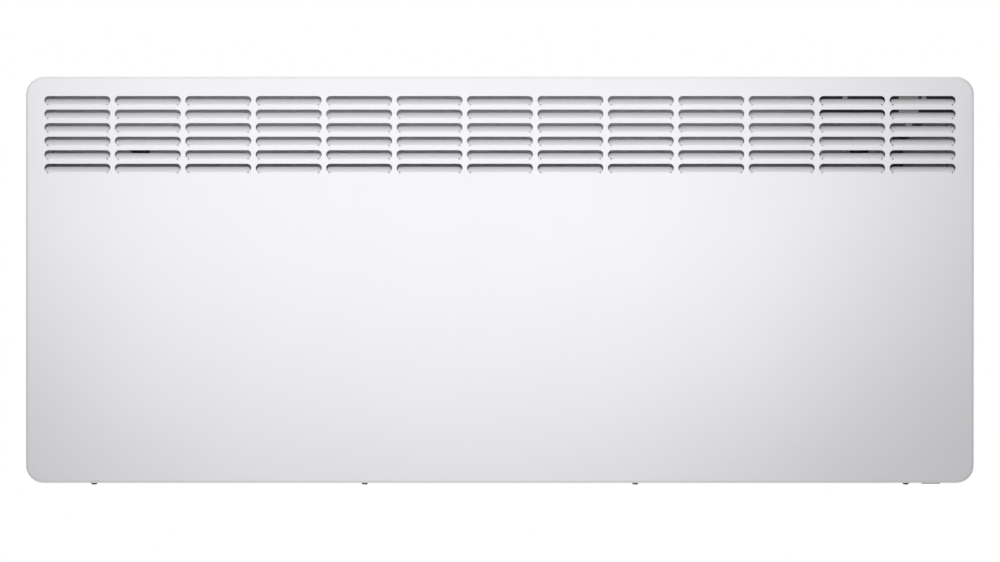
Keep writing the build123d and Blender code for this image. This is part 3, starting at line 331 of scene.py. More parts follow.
def in_a_notch(face):
    across = min(abs(face.center.x - x) for x in screw_xs)
    return across < NOTCH_WIDTH / 2 and face.center.y > notch_front


cut_lines(cover, lambda face: looks(face, -UP), RIGHT, (-flange_end, *notch_sides, flange_end))
cut_lines(cover, lambda face: looks(face, -UP), BACK, (notch_front, flange_back))
delete_faces(
    cover,
    lambda face: looks(face, -UP)
    and abs(face.center.x) < flange_end
    and (face.center.y > flange_back or in_a_notch(face)),
)

# Every louvre is a copy of the first tile, and the tiles are welded into the front.
tile = louvre_tile(field_left + PITCH_X / 2, FIRST_SLOT_TOP - SLOT_HEIGHT)
tiles = [tile] + [
    moved_copy(tile, (column * PITCH_X, 0, -row * PITCH_Z))
    for row in range(ROWS)
    for column in range(COLUMNS)
    if row or column
]
join(cover, tiles)
in_edit_mode(cover)
bpy.ops.mesh.remove_doubles(threshold=TINY)
bpy.ops.mesh.normals_make_consistent(inside=False)
bpy.ops.object.mode_set(mode="OBJECT")

# The skin has to look outwards before it gets the sheet's thickness on its inner side.
flat_faces = [face for face in cover.data.polygons if abs(face.normal.y) > SQUARE_ON]
if sum(face.normal.y * face.area for face in flat_faces) > 0:
    in_edit_mode(cover)
    bpy.ops.mesh.flip_normals()
    bpy.ops.object.mode_set(mode="OBJECT")
apply_modifier(cover, "SOLIDIFY", thickness=COVER_SHEET, offset=-1, use_even_offset=True)
apply_modifier(
    cover,
    "BEVEL",
    width=SHEARED_EDGE,
    segments=SHEARED_STEPS,
    limit_method="ANGLE",
    angle_limit=SHEARED_LIMIT,
)
smooth(cover, SMOOTH_LIMIT)
apply_modifier(cover, "WEIGHTED_NORMAL", keep_sharp=True)


class Wire:
    """One output of a shader node: sums and products of wires add the Math nodes they need."""

    def __init__(self, finish, socket):
        self.finish = finish
        self.socket = socket

    def math(self, operation, *terms):
        settings = {"operation": operation}
        return self.finish.node("ShaderNodeMath", settings, dict(enumerate(terms)))

    def __add__(self, other):
        return self.math("ADD", self, other)

    def __rsub__(self, other):
        return self.math("SUBTRACT", other, self)

    def __mul__(self, other):
        return self.math("MULTIPLY", self, other)

    __radd__ = __add__
    __rmul__ = __mul__


class Finish:
    """The finish of one kind of surface, built on a principled shader."""

    def __init__(self, name, **sockets):
        self.material = bpy.data.materials.new(name)
        self.material.use_nodes = True
        self.tree = self.material.node_tree
        self.shader = self.tree.nodes["Principled BSDF"]
        for socket, value in sockets.items():
            self.feed(self.shader.inputs[socket.replace("_", " ")], value)

    def feed(self, socket, value):
        if isinstance(value, Wire):
            self.tree.links.new(value.socket, socket)
        else:
            socket.default_value = value

    def node(self, kind, settings, inputs, output=0):
        made = self.tree.nodes.new(kind)
        for name, value in settings.items():
            setattr(made, name, value)
        for socket, value in inputs.items():
            self.feed(made.inputs[socket], value)
        return Wire(self, made.outputs[output])

    def place(self, stretch=(1, 1, 1)):
        """The surface's own place, in metres, stretched along each axis."""
        here = self.node("ShaderNodeTexCoord", {}, {}, output="Object")
        return self.node("ShaderNodeMapping", {}, {"Vector": here, "Scale": stretch})

    def noise(self, scale, detail=2.0, stretch=(1, 1, 1)):
        inputs = {"Vector": self.place(stretch), "Scale": scale, "Detail": detail}
        return self.node("ShaderNodeTexNoise", {}, inputs)

    def mix(self, share, first, second):
        """A colour between two: sockets 6 and 7, and output 2, are the node's colour ones."""
        settings = {"data_type": "RGBA"}
        return self.node("ShaderNodeMix", settings, {0: share, 6: first, 7: second}, output=2)

    def colour(self, wire):
        self.feed(self.shader.inputs["Base Color"], wire)

    def roughness(self, wire):
        self.feed(self.shader.inputs["Roughness"], wire)

    def relief(self, height, depth, strength):
        """A bump: a height from 0 to 1 that stands for a depth in metres."""
        inputs = {"Height": height, "Distance": depth, "Strength": strength}
        self.feed(self.shader.inputs["Normal"], self.node("ShaderNodeBump", {}, inputs))

    def coat(self, piece):
        piece.data.materials.clear()
        piece.data.materials.append(self.material)


def paint(piece, finish, body):
    """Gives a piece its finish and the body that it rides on."""
    finish.coat(piece)
    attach(piece, body)


powder = Finish("white_powder_coat")
peel = powder.noise(700.0, 3.0)
cloud = powder.noise(9.0, 2.0)
powder.colour(powder.mix(cloud, (0.795, 0.793, 0.822, 1), (0.825, 0.823, 0.848, 1)))
powder.roughness(0.46 + 0.08 * peel)
powder.relief(peel, 0.02 * MM, 0.5)
paint(cover, powder, "heater")
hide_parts("front_cover")


# ---------------------------------------------------------------------------
# Cover screws. Four blackened thread-forming screws with domed heads, driven up
# through the notches in the cover's bottom flange into the base grille.

HEAD_RADIUS, HEAD_HEIGHT, HEAD_RINGS = 3.7 * MM, 2.3 * MM, 16
SHANK_RADIUS, SHANK_LENGTH, SHANK_STEPS = 1.7 * MM, 9 * MM, 16
RECESS_LENGTH, RECESS_WIDTH, RECESS_DEPTH = 4.2 * MM, 0.9 * MM, 1.3 * MM
ROUND_STEPS = 32


def cylinder(name, radius, depth, middle, way=UP, steps=ROUND_STEPS):
    bpy.ops.mesh.primitive_cylinder_add(
        vertices=steps,
        radius=radius,
        depth=depth,
        location=middle,
        rotation=way.to_track_quat("Z", "Y").to_euler(),
    )
    return settled(name)


def slice_off(piece, point, way):
    """Cuts away all that lies beyond a plane, and closes the cut."""
    in_edit_mode(piece)
    bpy.ops.mesh.bisect(plane_co=point, plane_no=way, clear_outer=True, use_fill=True)
    bpy.ops.object.mode_set(mode="OBJECT")


def cut_away(piece, cutter):
    """Takes one shape out of another and throws the cutter away."""
    apply_modifier(piece, "BOOLEAN", object=cutter, operation="DIFFERENCE", solver="EXACT")
    bpy.data.objects.remove(cutter)


screw_y = FRONT_Y + SCREW_SETBACK
first_screw = Vector((screw_xs[0], screw_y, cover_low.z))
bpy.ops.mesh.primitive_uv_sphere_add(segments=ROUND_STEPS, ring_count=HEAD_RINGS, radius=1)
screw = bpy.context.object
screw.name = "cover_screw_heads"
slice_off(screw, (0, 0, 0), UP)
screw.scale = (HEAD_RADIUS, HEAD_RADIUS, HEAD_HEIGHT)
screw.location = first_screw
bpy.ops.object.transform_apply(location=True, rotation=True, scale=True)
for recess in (
    (RECESS_LENGTH, RECESS_WIDTH, 2 * RECESS_DEPTH),
    (RECESS_WIDTH, RECESS_LENGTH, 2 * RECESS_DEPTH),
):
    cut_away(screw, block("recess", recess, first_screw - UP * HEAD_HEIGHT))
shank_middle = first_screw + UP * SHANK_LENGTH / 2
join(screw, [cylinder("shank", SHANK_RADIUS, SHANK_LENGTH, shank_middle, steps=SHANK_STEPS)])
join(screw, [moved_copy(screw, (x - screw_xs[0], 0, 0)) for x in screw_xs[1:]])
smooth(screw, SMOOTH_LIMIT)
black_oxide = Finish("black_oxide", Metallic=0.55)
blotch = black_oxide.noise(260.0, 3.0)
black_oxide.colour(black_oxide.mix(blotch, (0.045, 0.045, 0.05, 1), (0.075, 0.072, 0.07, 1)))
black_oxide.roughness(0.28 + 0.16 * blotch)
black_oxide.relief(blotch, 0.03 * MM, 0.4)
paint(screw, black_oxide, "heater")
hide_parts("cover_screws")


# ---------------------------------------------------------------------------
# Rear panel. Galvanised sheet with a fine spangle, pressed into a tray with a rim
# inside the cover's folded sides, and punched for the catches, hooks and cable.

CHASSIS_SHEET, CHASSIS_FOLD, FOLD_STEPS = 1.0 * MM, 2.0 * MM, 4
CHASSIS_BREAK, BREAK_LIMIT = 0.2 * MM, math.radians(30)
SHADE_LIMIT, MERGE_LIMIT = math.radians(50), math.radians(0.2)
COVER_TO_RIM, RIM_CORNER_STEPS = 1.3 * MM, 12
RIM_BACK_Y, LIP_FRONT_Y = -40.5 * MM, -51.5 * MM
TRAY_SIDE, TRAY_TOP = 500 * MM, 208 * MM
HOLD_X, WINDOW_Z, HOOK_TOP = 400 * MM, (142 * MM, 155 * MM), -186.8 * MM
WINDOW_X, WINDOW_WIDTH, WINDOW_CORNER = 402.7 * MM, 21.4 * MM, (6 * MM, 10 * MM)
HOOK_SPREAD, HOOK_SLOT_WIDTH, HOOK_SLOT_HEIGHT = 19.25 * MM, 3.5 * MM, 15 * MM
CABLE_X, CABLE_Z, CABLE_SIDE = 450 * MM, -192 * MM, 15.2 * MM
PUNCH_RADIUS, PUNCH_STEPS, PUNCH_THROUGH = 0.6 * MM, 8, 4 * CHASSIS_SHEET
HOLD_MARGIN, CABLE_MARGIN = 30 * MM, 20 * MM
HOOK_MARGIN, WINDOW_MARGIN = 8 * MM, 12 * MM


def punch(size, middle, way, radius=PUNCH_RADIUS):
    """The tool for one opening, with its corners rounded, that cuts along a direction."""
    tool = block("punch", size, middle)
    round_edges(tool, lambda edge: runs(tool, edge, way), radius, PUNCH_STEPS)
    return tool


def merge_flat_faces(piece, limit):
    in_edit_mode(piece)
    bpy.ops.mesh.remove_doubles(threshold=TINY)
    bpy.ops.mesh.dissolve_limited(angle_limit=limit)
    bpy.ops.object.mode_set(mode="OBJECT")


def break_edges(piece, width, steps=2):
    """Breaks every sharp edge by a small round."""
    apply_modifier(
        piece,
        "BEVEL",
        width=width,
        segments=steps,
        limit_method="ANGLE",
        angle_limit=BREAK_LIMIT,
        use_clamp_overlap=False,
    )
    merge_flat_faces(piece, MERGE_LIMIT)
    smooth(piece, SHADE_LIMIT)
    apply_modifier(piece, "WEIGHTED_NORMAL", keep_sharp=True)


panel_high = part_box("rear_panel")[1]
floor_y = panel_high.y
panel = block(
    "rear_panel_sheet",
    (2 * panel_high.x, RIM_BACK_Y - LIP_FRONT_Y, 2 * panel_high.z),
    (0, (RIM_BACK_Y + LIP_FRONT_Y) / 2, 0),
)
rim_radius = CORNER_RADIUS - COVER_TO_RIM
round_edges(panel, lambda edge: runs(panel, edge, BACK), rim_radius, RIM_CORNER_STEPS)
delete_faces(panel, looks_front)
cut_lines(panel, lambda face: looks(face, BACK), RIGHT, (-TRAY_SIDE, TRAY_SIDE))
cut_lines(panel, lambda face: looks(face, BACK), UP, (TRAY_TOP,))
delete_faces(
    panel,
    lambda face: looks(face, -UP)
    or (looks(face, BACK) and abs(face.center.x) < TRAY_SIDE and face.center.z < TRAY_TOP),
)
tray_size = (2 * TRAY_SIDE, floor_y - RIM_BACK_Y, TRAY_TOP + panel_high.z)
tray_middle = (0, (floor_y + RIM_BACK_Y) / 2, (TRAY_TOP - panel_high.z) / 2)
tray = block("tray", tray_size, tray_middle)
delete_faces(tray, lambda face: looks_front(face) or looks(face, -UP))

# The flat wall is cut into tiles round its openings, so that no large face is punched.
window_low, window_high = WINDOW_Z
across = [side * HOLD_X + step * HOLD_MARGIN for side in (-1, 1) for step in (-1, 0, 1)]
upward = [HOOK_TOP - HOOK_SLOT_HEIGHT - HOOK_MARGIN, HOOK_TOP + HOOK_MARGIN]
upward += [window_low - WINDOW_MARGIN, window_high + WINDOW_MARGIN]
cut_lines(tray, lambda face: looks(face, BACK), RIGHT, across + [CABLE_X + CABLE_MARGIN])
cut_lines(tray, lambda face: looks(face, BACK), UP, upward)
join(panel, [tray])
in_edit_mode(panel)
bpy.ops.mesh.remove_doubles(threshold=TINY)
bpy.ops.object.mode_set(mode="OBJECT")


def at_tray_bend(edge):
    """An edge round the tray's flat wall, or one of the corners between its folded sides."""
    middle = edge_middle(panel, edge)
    at_side = abs(abs(middle.x) - TRAY_SIDE) < TINY
    at_top = abs(middle.z - TRAY_TOP) < TINY
    at_wall = abs(middle.y - floor_y) < TINY
    return (at_wall and (at_side or at_top)) or (at_side and at_top)


def at_rim_edge(edge):
    """An edge of the flange's outline, rather than a cut line that crosses the flange."""
    first, second = edge_ends(panel, edge)
    middle = (first + second) / 2
    upright, level = abs(first.x - second.x) < TINY, abs(first.z - second.z) < TINY
    near_side = abs(middle.x) > panel_high.x - CORNER_RADIUS
    near_end = abs(middle.z) > panel_high.z - CORNER_RADIUS
    at_end = level and middle.z > panel_high.z - TINY
    at_corner = near_side and near_end and not upright and not level
    at_side = near_side and upright
    return abs(middle.y - RIM_BACK_Y) < TINY and (at_end or at_corner or at_side)


round_edges(panel, at_tray_bend, CHASSIS_FOLD, FOLD_STEPS)
round_edges(panel, at_rim_edge, CHASSIS_FOLD, FOLD_STEPS)
apply_modifier(panel, "SOLIDIFY", thickness=CHASSIS_SHEET, offset=-1, use_even_offset=True)
window_size = (WINDOW_WIDTH, PUNCH_THROUGH, window_high - window_low)
hook_size = (HOOK_SLOT_WIDTH, PUNCH_THROUGH, HOOK_SLOT_HEIGHT)
corner_x, corner_z = WINDOW_CORNER
punches = []
for side in (-1, 1):
    window_middle = (side * WINDOW_X, floor_y, (window_low + window_high) / 2)
    window = block("punch", window_size, window_middle)
    corner_start = (side * (WINDOW_X - WINDOW_WIDTH / 2), floor_y, window_high - corner_z)
    slice_off(window, corner_start, (-side * corner_z, 0, corner_x))
    round_edges(window, lambda edge: runs(window, edge, BACK), PUNCH_RADIUS, PUNCH_STEPS)
    punches.append(window)
    for spread in (-HOOK_SPREAD, HOOK_SPREAD):
        hook_middle = (side * HOLD_X + spread, floor_y, HOOK_TOP - HOOK_SLOT_HEIGHT / 2)
        punches.append(punch(hook_size, hook_middle, BACK))
cable_size = (CABLE_SIDE, PUNCH_THROUGH, CABLE_SIDE)
cable_punch = punch(cable_size, (CABLE_X, floor_y, CABLE_Z), BACK)
join(cable_punch, punches)
cut_away(panel, cable_punch)
break_edges(panel, CHASSIS_BREAK)
galvanised = Finish("galvanised_sheet", Metallic=0.5)
cells = {"Vector": galvanised.place(), "Scale": 120.0}
spangle = galvanised.node("ShaderNodeTexVoronoi", {"feature": "F1"}, cells, "Color")
grey = galvanised.node("ShaderNodeRGBToBW", {}, {"Color": spangle})
haze = galvanised.noise(14.0, 4.0)
shade = 0.6 * grey + 0.4 * haze
galvanised.colour(galvanised.mix(shade, (0.49, 0.49, 0.50, 1), (0.64, 0.64, 0.65, 1)))
galvanised.roughness(0.46 + 0.14 * grey + 0.08 * haze)
galvanised.relief(grey, 0.01 * MM, 0.25)
paint(panel, galvanised, "heater")
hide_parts("rear_panel")


# ---------------------------------------------------------------------------
# Base grille. The same galvanised sheet folded up at front and back, with three
# rows of punched air inlets, the cover screws' holes and the switch's cutout.

INLET_COLUMNS, INLET_ROWS = 11, 3
INLET_PITCH_X, INLET_PITCH_Y = 78 * MM, 16 * MM
INLET_LENGTH, INLET_WIDTH, INLET_END_RADIUS = 66 * MM, 8 * MM, 3.95 * MM
FIRST_INLET_X, FIRST_INLET_Y = -468 * MM, FRONT_Y + 33 * MM
GRILLE_FRONT_LIP = 12 * MM
SWITCH_CUTOUT = (24 * MM, 28.6 * MM)
grille_low, grille_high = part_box("base_grille")
grille = block("base_grille_sheet", grille_high - grille_low, (grille_low + grille_high) / 2)
delete_faces(grille, lambda face: looks(face, UP) or abs(face.normal.x) > SQUARE_ON)
round_edges(
    grille,
    lambda edge: runs(grille, edge, RIGHT) and edge_middle(grille, edge).z < grille_low.z + TINY,
    CHASSIS_FOLD,
    FOLD_STEPS,
)
lip_top = grille_low.z + GRILLE_FRONT_LIP
cut_lines(grille, looks_front, UP, (lip_top,))
delete_faces(grille, lambda face: looks_front(face) and face.center.z > lip_top)
between_columns = [FIRST_INLET_X + (n - 0.5) * INLET_PITCH_X for n in range(INLET_COLUMNS + 1)]
between_rows = [FIRST_INLET_Y + (n - 0.5) * INLET_PITCH_Y for n in range(INLET_ROWS + 1)]
cut_lines(grille, lambda face: looks(face, -UP), RIGHT, between_columns)
cut_lines(grille, lambda face: looks(face, -UP), BACK, between_rows)
apply_modifier(grille, "SOLIDIFY", thickness=CHASSIS_SHEET, offset=-1, use_even_offset=True)
inlet_size = (INLET_LENGTH, INLET_WIDTH, PUNCH_THROUGH)
inlet_middle = (FIRST_INLET_X, FIRST_INLET_Y, grille_low.z)
inlet = punch(inlet_size, inlet_middle, UP, INLET_END_RADIUS)
punches = [
    moved_copy(inlet, (column * INLET_PITCH_X, row * INLET_PITCH_Y, 0))
    for column in range(INLET_COLUMNS)
    for row in range(INLET_ROWS)
    if column or row
]
for x in screw_xs:
    hole_middle = (x, screw_y, grille_low.z)
    punches.append(cylinder("punch", SHANK_RADIUS, PUNCH_THROUGH, hole_middle, steps=SHANK_STEPS))
switch_low, switch_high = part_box("switch_body")
switch_middle = (switch_low + switch_high) / 2
switch_middle.z = grille_low.z
punches.append(punch((*SWITCH_CUTOUT, PUNCH_THROUGH), switch_middle, UP))
join(inlet, punches)
cut_away(grille, inlet)
break_edges(grille, CHASSIS_BREAK)
paint(grille, galvanised, "heater")
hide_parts("base_grille")


# ---------------------------------------------------------------------------
# Air duct. Two folded galvanised end plates and, behind the front, a bright
# aluminised shield with its long edges bent back.

FACET_LIMIT = math.radians(1)


def softened(node, finish, edge_round, body="heater", steps=2):
    """A copy of a CAD piece with its edges broken by a small round."""
    piece = bpy.data.objects.new(node + "_finished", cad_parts[node].data.copy())
    bpy.context.collection.objects.link(piece)
    activate(piece)
    bpy.ops.mesh.customdata_custom_splitnormals_clear()
    merge_flat_faces(piece, FACET_LIMIT)
    break_edges(piece, edge_round, steps)
    paint(piece, finish, body)
    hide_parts(node)
    return piece


softened("duct_end_left", galvanised, 0.25 * MM)
softened("partition", galvanised, 0.25 * MM)
bright = Finish("bright_rolled_sheet", Metallic=1.0)
rolling = bright.noise(60.0, 3.0, (0.5, 20, 20))
bright.colour(bright.mix(rolling, (0.74, 0.75, 0.76, 1), (0.84, 0.85, 0.86, 1)))
bright.roughness(0.22 + 0.12 * rolling)
bright.relief(rolling, 0.01 * MM, 0.3)
softened("heat_shield", bright, 0.2 * MM)


# ---------------------------------------------------------------------------
# Heating element. An aluminium extrusion pressed round a steel-sheathed heater,
# carried in ceramic bushes, with spade tabs and an overheat cut-out above it.

extrusion = Finish("aluminium_extrusion", Metallic=1.0)
die_line = extrusion.noise(240.0, 2.0, (0.02, 1, 1))
extrusion.colour(extrusion.mix(die_line, (0.62, 0.63, 0.64, 1), (0.76, 0.77, 0.78, 1)))
extrusion.roughness(0.36 + 0.14 * die_line)
extrusion.relief(die_line, 0.02 * MM, 0.5)
softened("heating_element", extrusion, 0.3 * MM)

tinted = Finish("heat_tinted_steel", Metallic=1.0)
tint = tinted.noise(22.0, 3.0)
tinted.colour(tinted.mix(tint, (0.30, 0.27, 0.24, 1), (0.46, 0.45, 0.44, 1)))
tinted.roughness(0.30 + 0.14 * tint)
tinted.relief(tint, 0.01 * MM, 0.3)
softened("element_sheath", tinted, 0.4 * MM)

fired = Finish("fired_ceramic", Specular_IOR_Level=0.4)
speck = fired.noise(900.0, 2.0)
fired.colour(fired.mix(speck, (0.74, 0.71, 0.64, 1), (0.83, 0.81, 0.75, 1)))
fired.roughness(0.55 + 0.2 * speck)
fired.relief(speck, 0.03 * MM, 0.5)
softened("element_bushes", fired, 0.5 * MM)

tinned = Finish("tinned_brass", Metallic=1.0)
wipe = tinned.noise(420.0, 3.0)
tinned.colour(tinned.mix(wipe, (0.66, 0.66, 0.63, 1), (0.79, 0.79, 0.77, 1)))
tinned.roughness(0.24 + 0.16 * wipe)
tinned.relief(wipe, 0.01 * MM, 0.4)
softened("element_terminals", tinned, 0.12 * MM)


def moulded(name, dark, light, grain, depth, smoothest, spread, **sockets):
    """A fine-grained skin in one colour, slightly clouded, as on plastic, rubber or print."""
    finish = Finish(name, **sockets)
    texture = finish.noise(grain, 3.0)
    cloud = finish.noise(18.0, 2.0)
    finish.colour(finish.mix(0.6 * cloud + 0.4 * texture, (*dark, 1), (*light, 1)))
    finish.roughness(smoothest + spread * texture)
    finish.relief(texture, depth, 0.6)
    return finish


phenolic = moulded(
    "black_phenolic",
    dark=(0.028, 0.027, 0.027),
    light=(0.045, 0.043, 0.042),
    grain=1100.0,
    depth=0.02 * MM,
    smoothest=0.38,
    spread=0.15,
)
softened("thermal_cutout", phenolic, 0.15 * MM)


# ---------------------------------------------------------------------------
# Control unit. A dark moulded tub hung under the cover's top, its white fascia
# flush with the top, with a display, four keys, their board and a steel clip.

textured = moulded(
    "dark_textured_plastic",
    dark=(0.010, 0.0105, 0.012),
    light=(0.018, 0.019, 0.021),
    grain=1500.0,
    depth=0.04 * MM,
    smoothest=0.46,
    spread=0.2,
    Specular_IOR_Level=0.25,
)
softened("control_housing", textured, 0.6 * MM)
white_abs = moulded(
    "white_moulding",
    dark=(0.74, 0.74, 0.74),
    light=(0.80, 0.80, 0.80),
    grain=1600.0,
    depth=0.015 * MM,
    smoothest=0.28,
    spread=0.12,
)
softened("control_fascia", white_abs, 0.25 * MM)
key_grey = moulded(
    "grey_key_plastic",
    dark=(0.27, 0.28, 0.30),
    light=(0.34, 0.35, 0.37),
    grain=1800.0,
    depth=0.02 * MM,
    smoothest=0.42,
    spread=0.14,
)
for key in ("key_menu", "key_minus", "key_plus", "key_ok"):
    softened(key, key_grey, 0.35 * MM, body=key)
pane = Finish("clear_pane", Alpha=0.22, Coat_Weight=1.0)
smear = pane.noise(60.0, 3.0)
pane.colour(pane.mix(smear, (0.58, 0.62, 0.62, 1), (0.62, 0.66, 0.66, 1)))
pane.roughness(0.03 + 0.05 * smear)
pane.relief(smear, 0.003 * MM, 0.3)
softened("display_window", pane, 0.2 * MM)
crystal = moulded(
    "unlit_display",
    dark=(0.27, 0.31, 0.27),
    light=(0.32, 0.36, 0.31),
    grain=90.0,
    depth=0.004 * MM,
    smoothest=0.16,
    spread=0.06,
)
softened("display_module", crystal, 0.2 * MM)

# The black mask printed round the display, just behind the pane.
MASK_THICK, MASK_INSET, MASK_MARGIN = 0.1 * MM, 1 * MM, (5.0 * MM, 3.2 * MM)
pane_low, pane_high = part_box("display_window")
pane_size = pane_high - pane_low
mask_middle = (pane_low + pane_high) / 2
mask_middle.z = pane_low.z + MASK_THICK
mask_size = (pane_size.x - MASK_INSET, pane_size.y - MASK_INSET, MASK_THICK)
mask = block("display_mask", mask_size, mask_middle)
view_size = (pane_size.x - 2 * MASK_MARGIN[0], pane_size.y - 2 * MASK_MARGIN[1], 10 * MASK_THICK)
cut_away(mask, block("view", view_size, mask_middle))
print_black = moulded(
    "black_print",
    dark=(0.010, 0.010, 0.011),
    light=(0.016, 0.016, 0.017),
    grain=400.0,
    depth=0.004 * MM,
    smoothest=0.35,
    spread=0.1,
)
paint(mask, print_black, "heater")

# The marks printed on the keys: three bars, a minus, a plus and a ring.
MARK_THICK, MARK_LINE, MARK_LENGTH = 0.08 * MM, 0.8 * MM, 4.4 * MM
MARK_END_RADIUS, MARK_END_STEPS = 0.38 * MM, 4
print_white = moulded(
    "white_print",
    dark=(0.70, 0.70, 0.70),
    light=(0.78, 0.78, 0.78),
    grain=900.0,
    depth=0.004 * MM,
    smoothest=0.4,
    spread=0.1,
)


def round_ends(bar, way):
    """Rounds the corners of a printed line, seen along a direction."""
    round_edges(bar, lambda edge: runs(bar, edge, way), MARK_END_RADIUS, MARK_END_STEPS)


def key_top(key):
    """Where a mark's middle lies on top of a key."""
    low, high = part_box(key)
    return Vector(((low.x + high.x) / 2, (low.y + high.y) / 2, high.z + MARK_THICK / 2))


def printed_bar(key, width, depth, backward=0.0):
    bar = block(key + "_mark", (width, depth, MARK_THICK), key_top(key) + BACK * backward)
    round_ends(bar, UP)
    return bar


def printed_ring(name, middle, way):
    radius = MARK_LENGTH / 2
    ring = cylinder(name, radius, MARK_THICK, middle, way)
    cut_away(ring, cylinder("inside", radius - MARK_LINE, 4 * MARK_THICK, middle, way))
    return ring


menu_mark = printed_bar("key_menu", MARK_LENGTH, MARK_LINE)
outer_bars = [
    printed_bar("key_menu", MARK_LENGTH, MARK_LINE, 2 * side * MARK_LINE) for side in (-1, 1)
]
join(menu_mark, outer_bars)
minus_mark = printed_bar("key_minus", MARK_LENGTH, MARK_LINE)
plus_mark = printed_bar("key_plus", MARK_LENGTH, MARK_LINE)
upright = printed_bar("key_plus", MARK_LINE, MARK_LENGTH)
apply_modifier(plus_mark, "BOOLEAN", object=upright, operation="UNION", solver="EXACT")
bpy.data.objects.remove(upright)
ok_mark = printed_ring("key_ok_mark", key_top("key_ok"), UP)
paint(menu_mark, print_white, "key_menu")
paint(minus_mark, print_white, "key_minus")
paint(plus_mark, print_white, "key_plus")
paint(ok_mark, print_white, "key_ok")

laminate = moulded(
    "solder_mask",
    dark=(0.016, 0.085, 0.035),
    light=(0.030, 0.13, 0.055),
    grain=380.0,
    depth=0.03 * MM,
    smoothest=0.26,
    spread=0.16,
)
softened("control_board", laminate, 0.12 * MM)
softened("key_switches", phenolic, 0.12 * MM)

zinc = Finish("bright_zinc", Metallic=1.0)
passivation = zinc.noise(180.0, 3.0)
zinc.colour(zinc.mix(passivation, (0.16, 0.165, 0.17, 1), (0.27, 0.27, 0.26, 1)))
zinc.roughness(0.42 + 0.18 * passivation)
zinc.relief(passivation, 0.015 * MM, 0.4)
softened("unit_clip", zinc, 0.15 * MM)
softened("unit_screws", zinc, 0.2 * MM)


# ---------------------------------------------------------------------------
# Power electronics. A moulded carrier on the rear panel with the power board, its
# relay, finned triac heatsink and plug, and beside it the terminals and earth.

softened("board_carrier", textured, 0.4 * MM)
softened("power_board", laminate, 0.12 * MM)
relay_blue = moulded(
    "relay_case",
    dark=(0.030, 0.055, 0.16),
    light=(0.045, 0.075, 0.20),
    grain=1300.0,
    depth=0.015 * MM,
    smoothest=0.32,
    spread=0.14,
)
softened("relay", relay_blue, 0.5 * MM)
softened("triac_heatsink", extrusion, 0.2 * MM)
nylon = moulded(
    "natural_nylon",
    dark=(0.68, 0.66, 0.59),
    light=(0.77, 0.75, 0.69),
    grain=1200.0,
    depth=0.02 * MM,
    smoothest=0.40,
    spread=0.16,
)
for part in ("board_plug", "terminal_block", "sensor_post"):
    softened(part, nylon, 0.35 * MM)
softened("terminal_screws", zinc, 0.2 * MM)
softened("earth_stud", zinc, 0.2 * MM)
rubber = moulded(
    "moulded_rubber",
    dark=(0.018, 0.018, 0.018),
    light=(0.032, 0.032, 0.032),
    grain=900.0,
    depth=0.03 * MM,
    smoothest=0.58,
    spread=0.2,
)
softened("cable_bush", rubber, 0.5 * MM)


# ---------------------------------------------------------------------------
# Switch and room sensor, in the base grille at the right. The switch snaps in
# from below, and its rocker tips between two rests.

softened("switch_body", textured, 0.3 * MM)
softened("switch_terminals", tinned, 0.12 * MM)
rocker_grey = moulded(
    "grey_rocker_plastic",
    dark=(0.10, 0.10, 0.105),
    light=(0.14, 0.14, 0.145),
    grain=1400.0,
    depth=0.02 * MM,
    smoothest=0.36,
    spread=0.14,
)
softened("rocker", rocker_grey, 0.5 * MM, body="rocker")
LEAST_DOWNWARD = 0.9  # how nearly both halves of the rocker's face look down


def rocker_face(side):
    """The middle of one half of the rocker's face, and the way that half points."""
    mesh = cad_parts["rocker"].data
    low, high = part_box("rocker")
    middle_y = (low.y + high.y) / 2
    faces = [
        face
        for face in mesh.polygons
        if face.normal.z < -LEAST_DOWNWARD and side * (face.center.y - middle_y) > 0
    ]
    widest = max(faces, key=lambda face: face.area)
    way = widest.normal
    level = [face for face in faces if abs((face.center - widest.center).dot(way)) < TINY]
    corners = [mesh.vertices[n].co for face in level for n in face.vertices]
    spans = [[corner[axis] for corner in corners] for axis in range(3)]
    return Vector([(min(span) + max(span)) / 2 for span in spans]), way


front_middle, front_way = rocker_face(-1)
on_mark = block(
    "rocker_on_mark",
    (MARK_LINE, MARK_LENGTH, MARK_THICK),
    front_middle + front_way * MARK_THICK / 2,
    turn=(math.atan2(-front_way.y, front_way.z), 0, 0),
)
round_ends(on_mark, front_way)
back_middle, back_way = rocker_face(1)
off_mark = printed_ring("rocker_off_mark", back_middle + back_way * MARK_THICK / 2, back_way)
paint(on_mark, print_white, "rocker")
paint(off_mark, print_white, "rocker")
bead = moulded(
    "dipped_bead",
    dark=(0.020, 0.020, 0.022),
    light=(0.034, 0.034, 0.036),
    grain=300.0,
    depth=0.06 * MM,
    smoothest=0.20,
    spread=0.14,
)
softened("room_sensor", bead, 1.2 * MM, steps=3)


# ---------------------------------------------------------------------------
# Wiring. A sleeved trunk from the control unit to the power board, and two flat
# twin leads in heat-resisting insulation.

sleeve = moulded(
    "woven_sleeve",
    dark=(0.080, 0.080, 0.085),
    light=(0.16, 0.16, 0.165),
    grain=620.0,
    depth=0.25 * MM,
    smoothest=0.55,
    spread=0.25,
)
softened("control_trunk", sleeve, 2.4 * MM, steps=4)
silicone = moulded(
    "silicone_insulation",
    dark=(0.50, 0.50, 0.48),
    light=(0.60, 0.60, 0.58),
    grain=700.0,
    depth=0.02 * MM,
    smoothest=0.45,
    spread=0.15,
)
softened("element_lead", silicone, 1.0 * MM, steps=3)
softened("switch_lead", silicone, 1.0 * MM, steps=3)
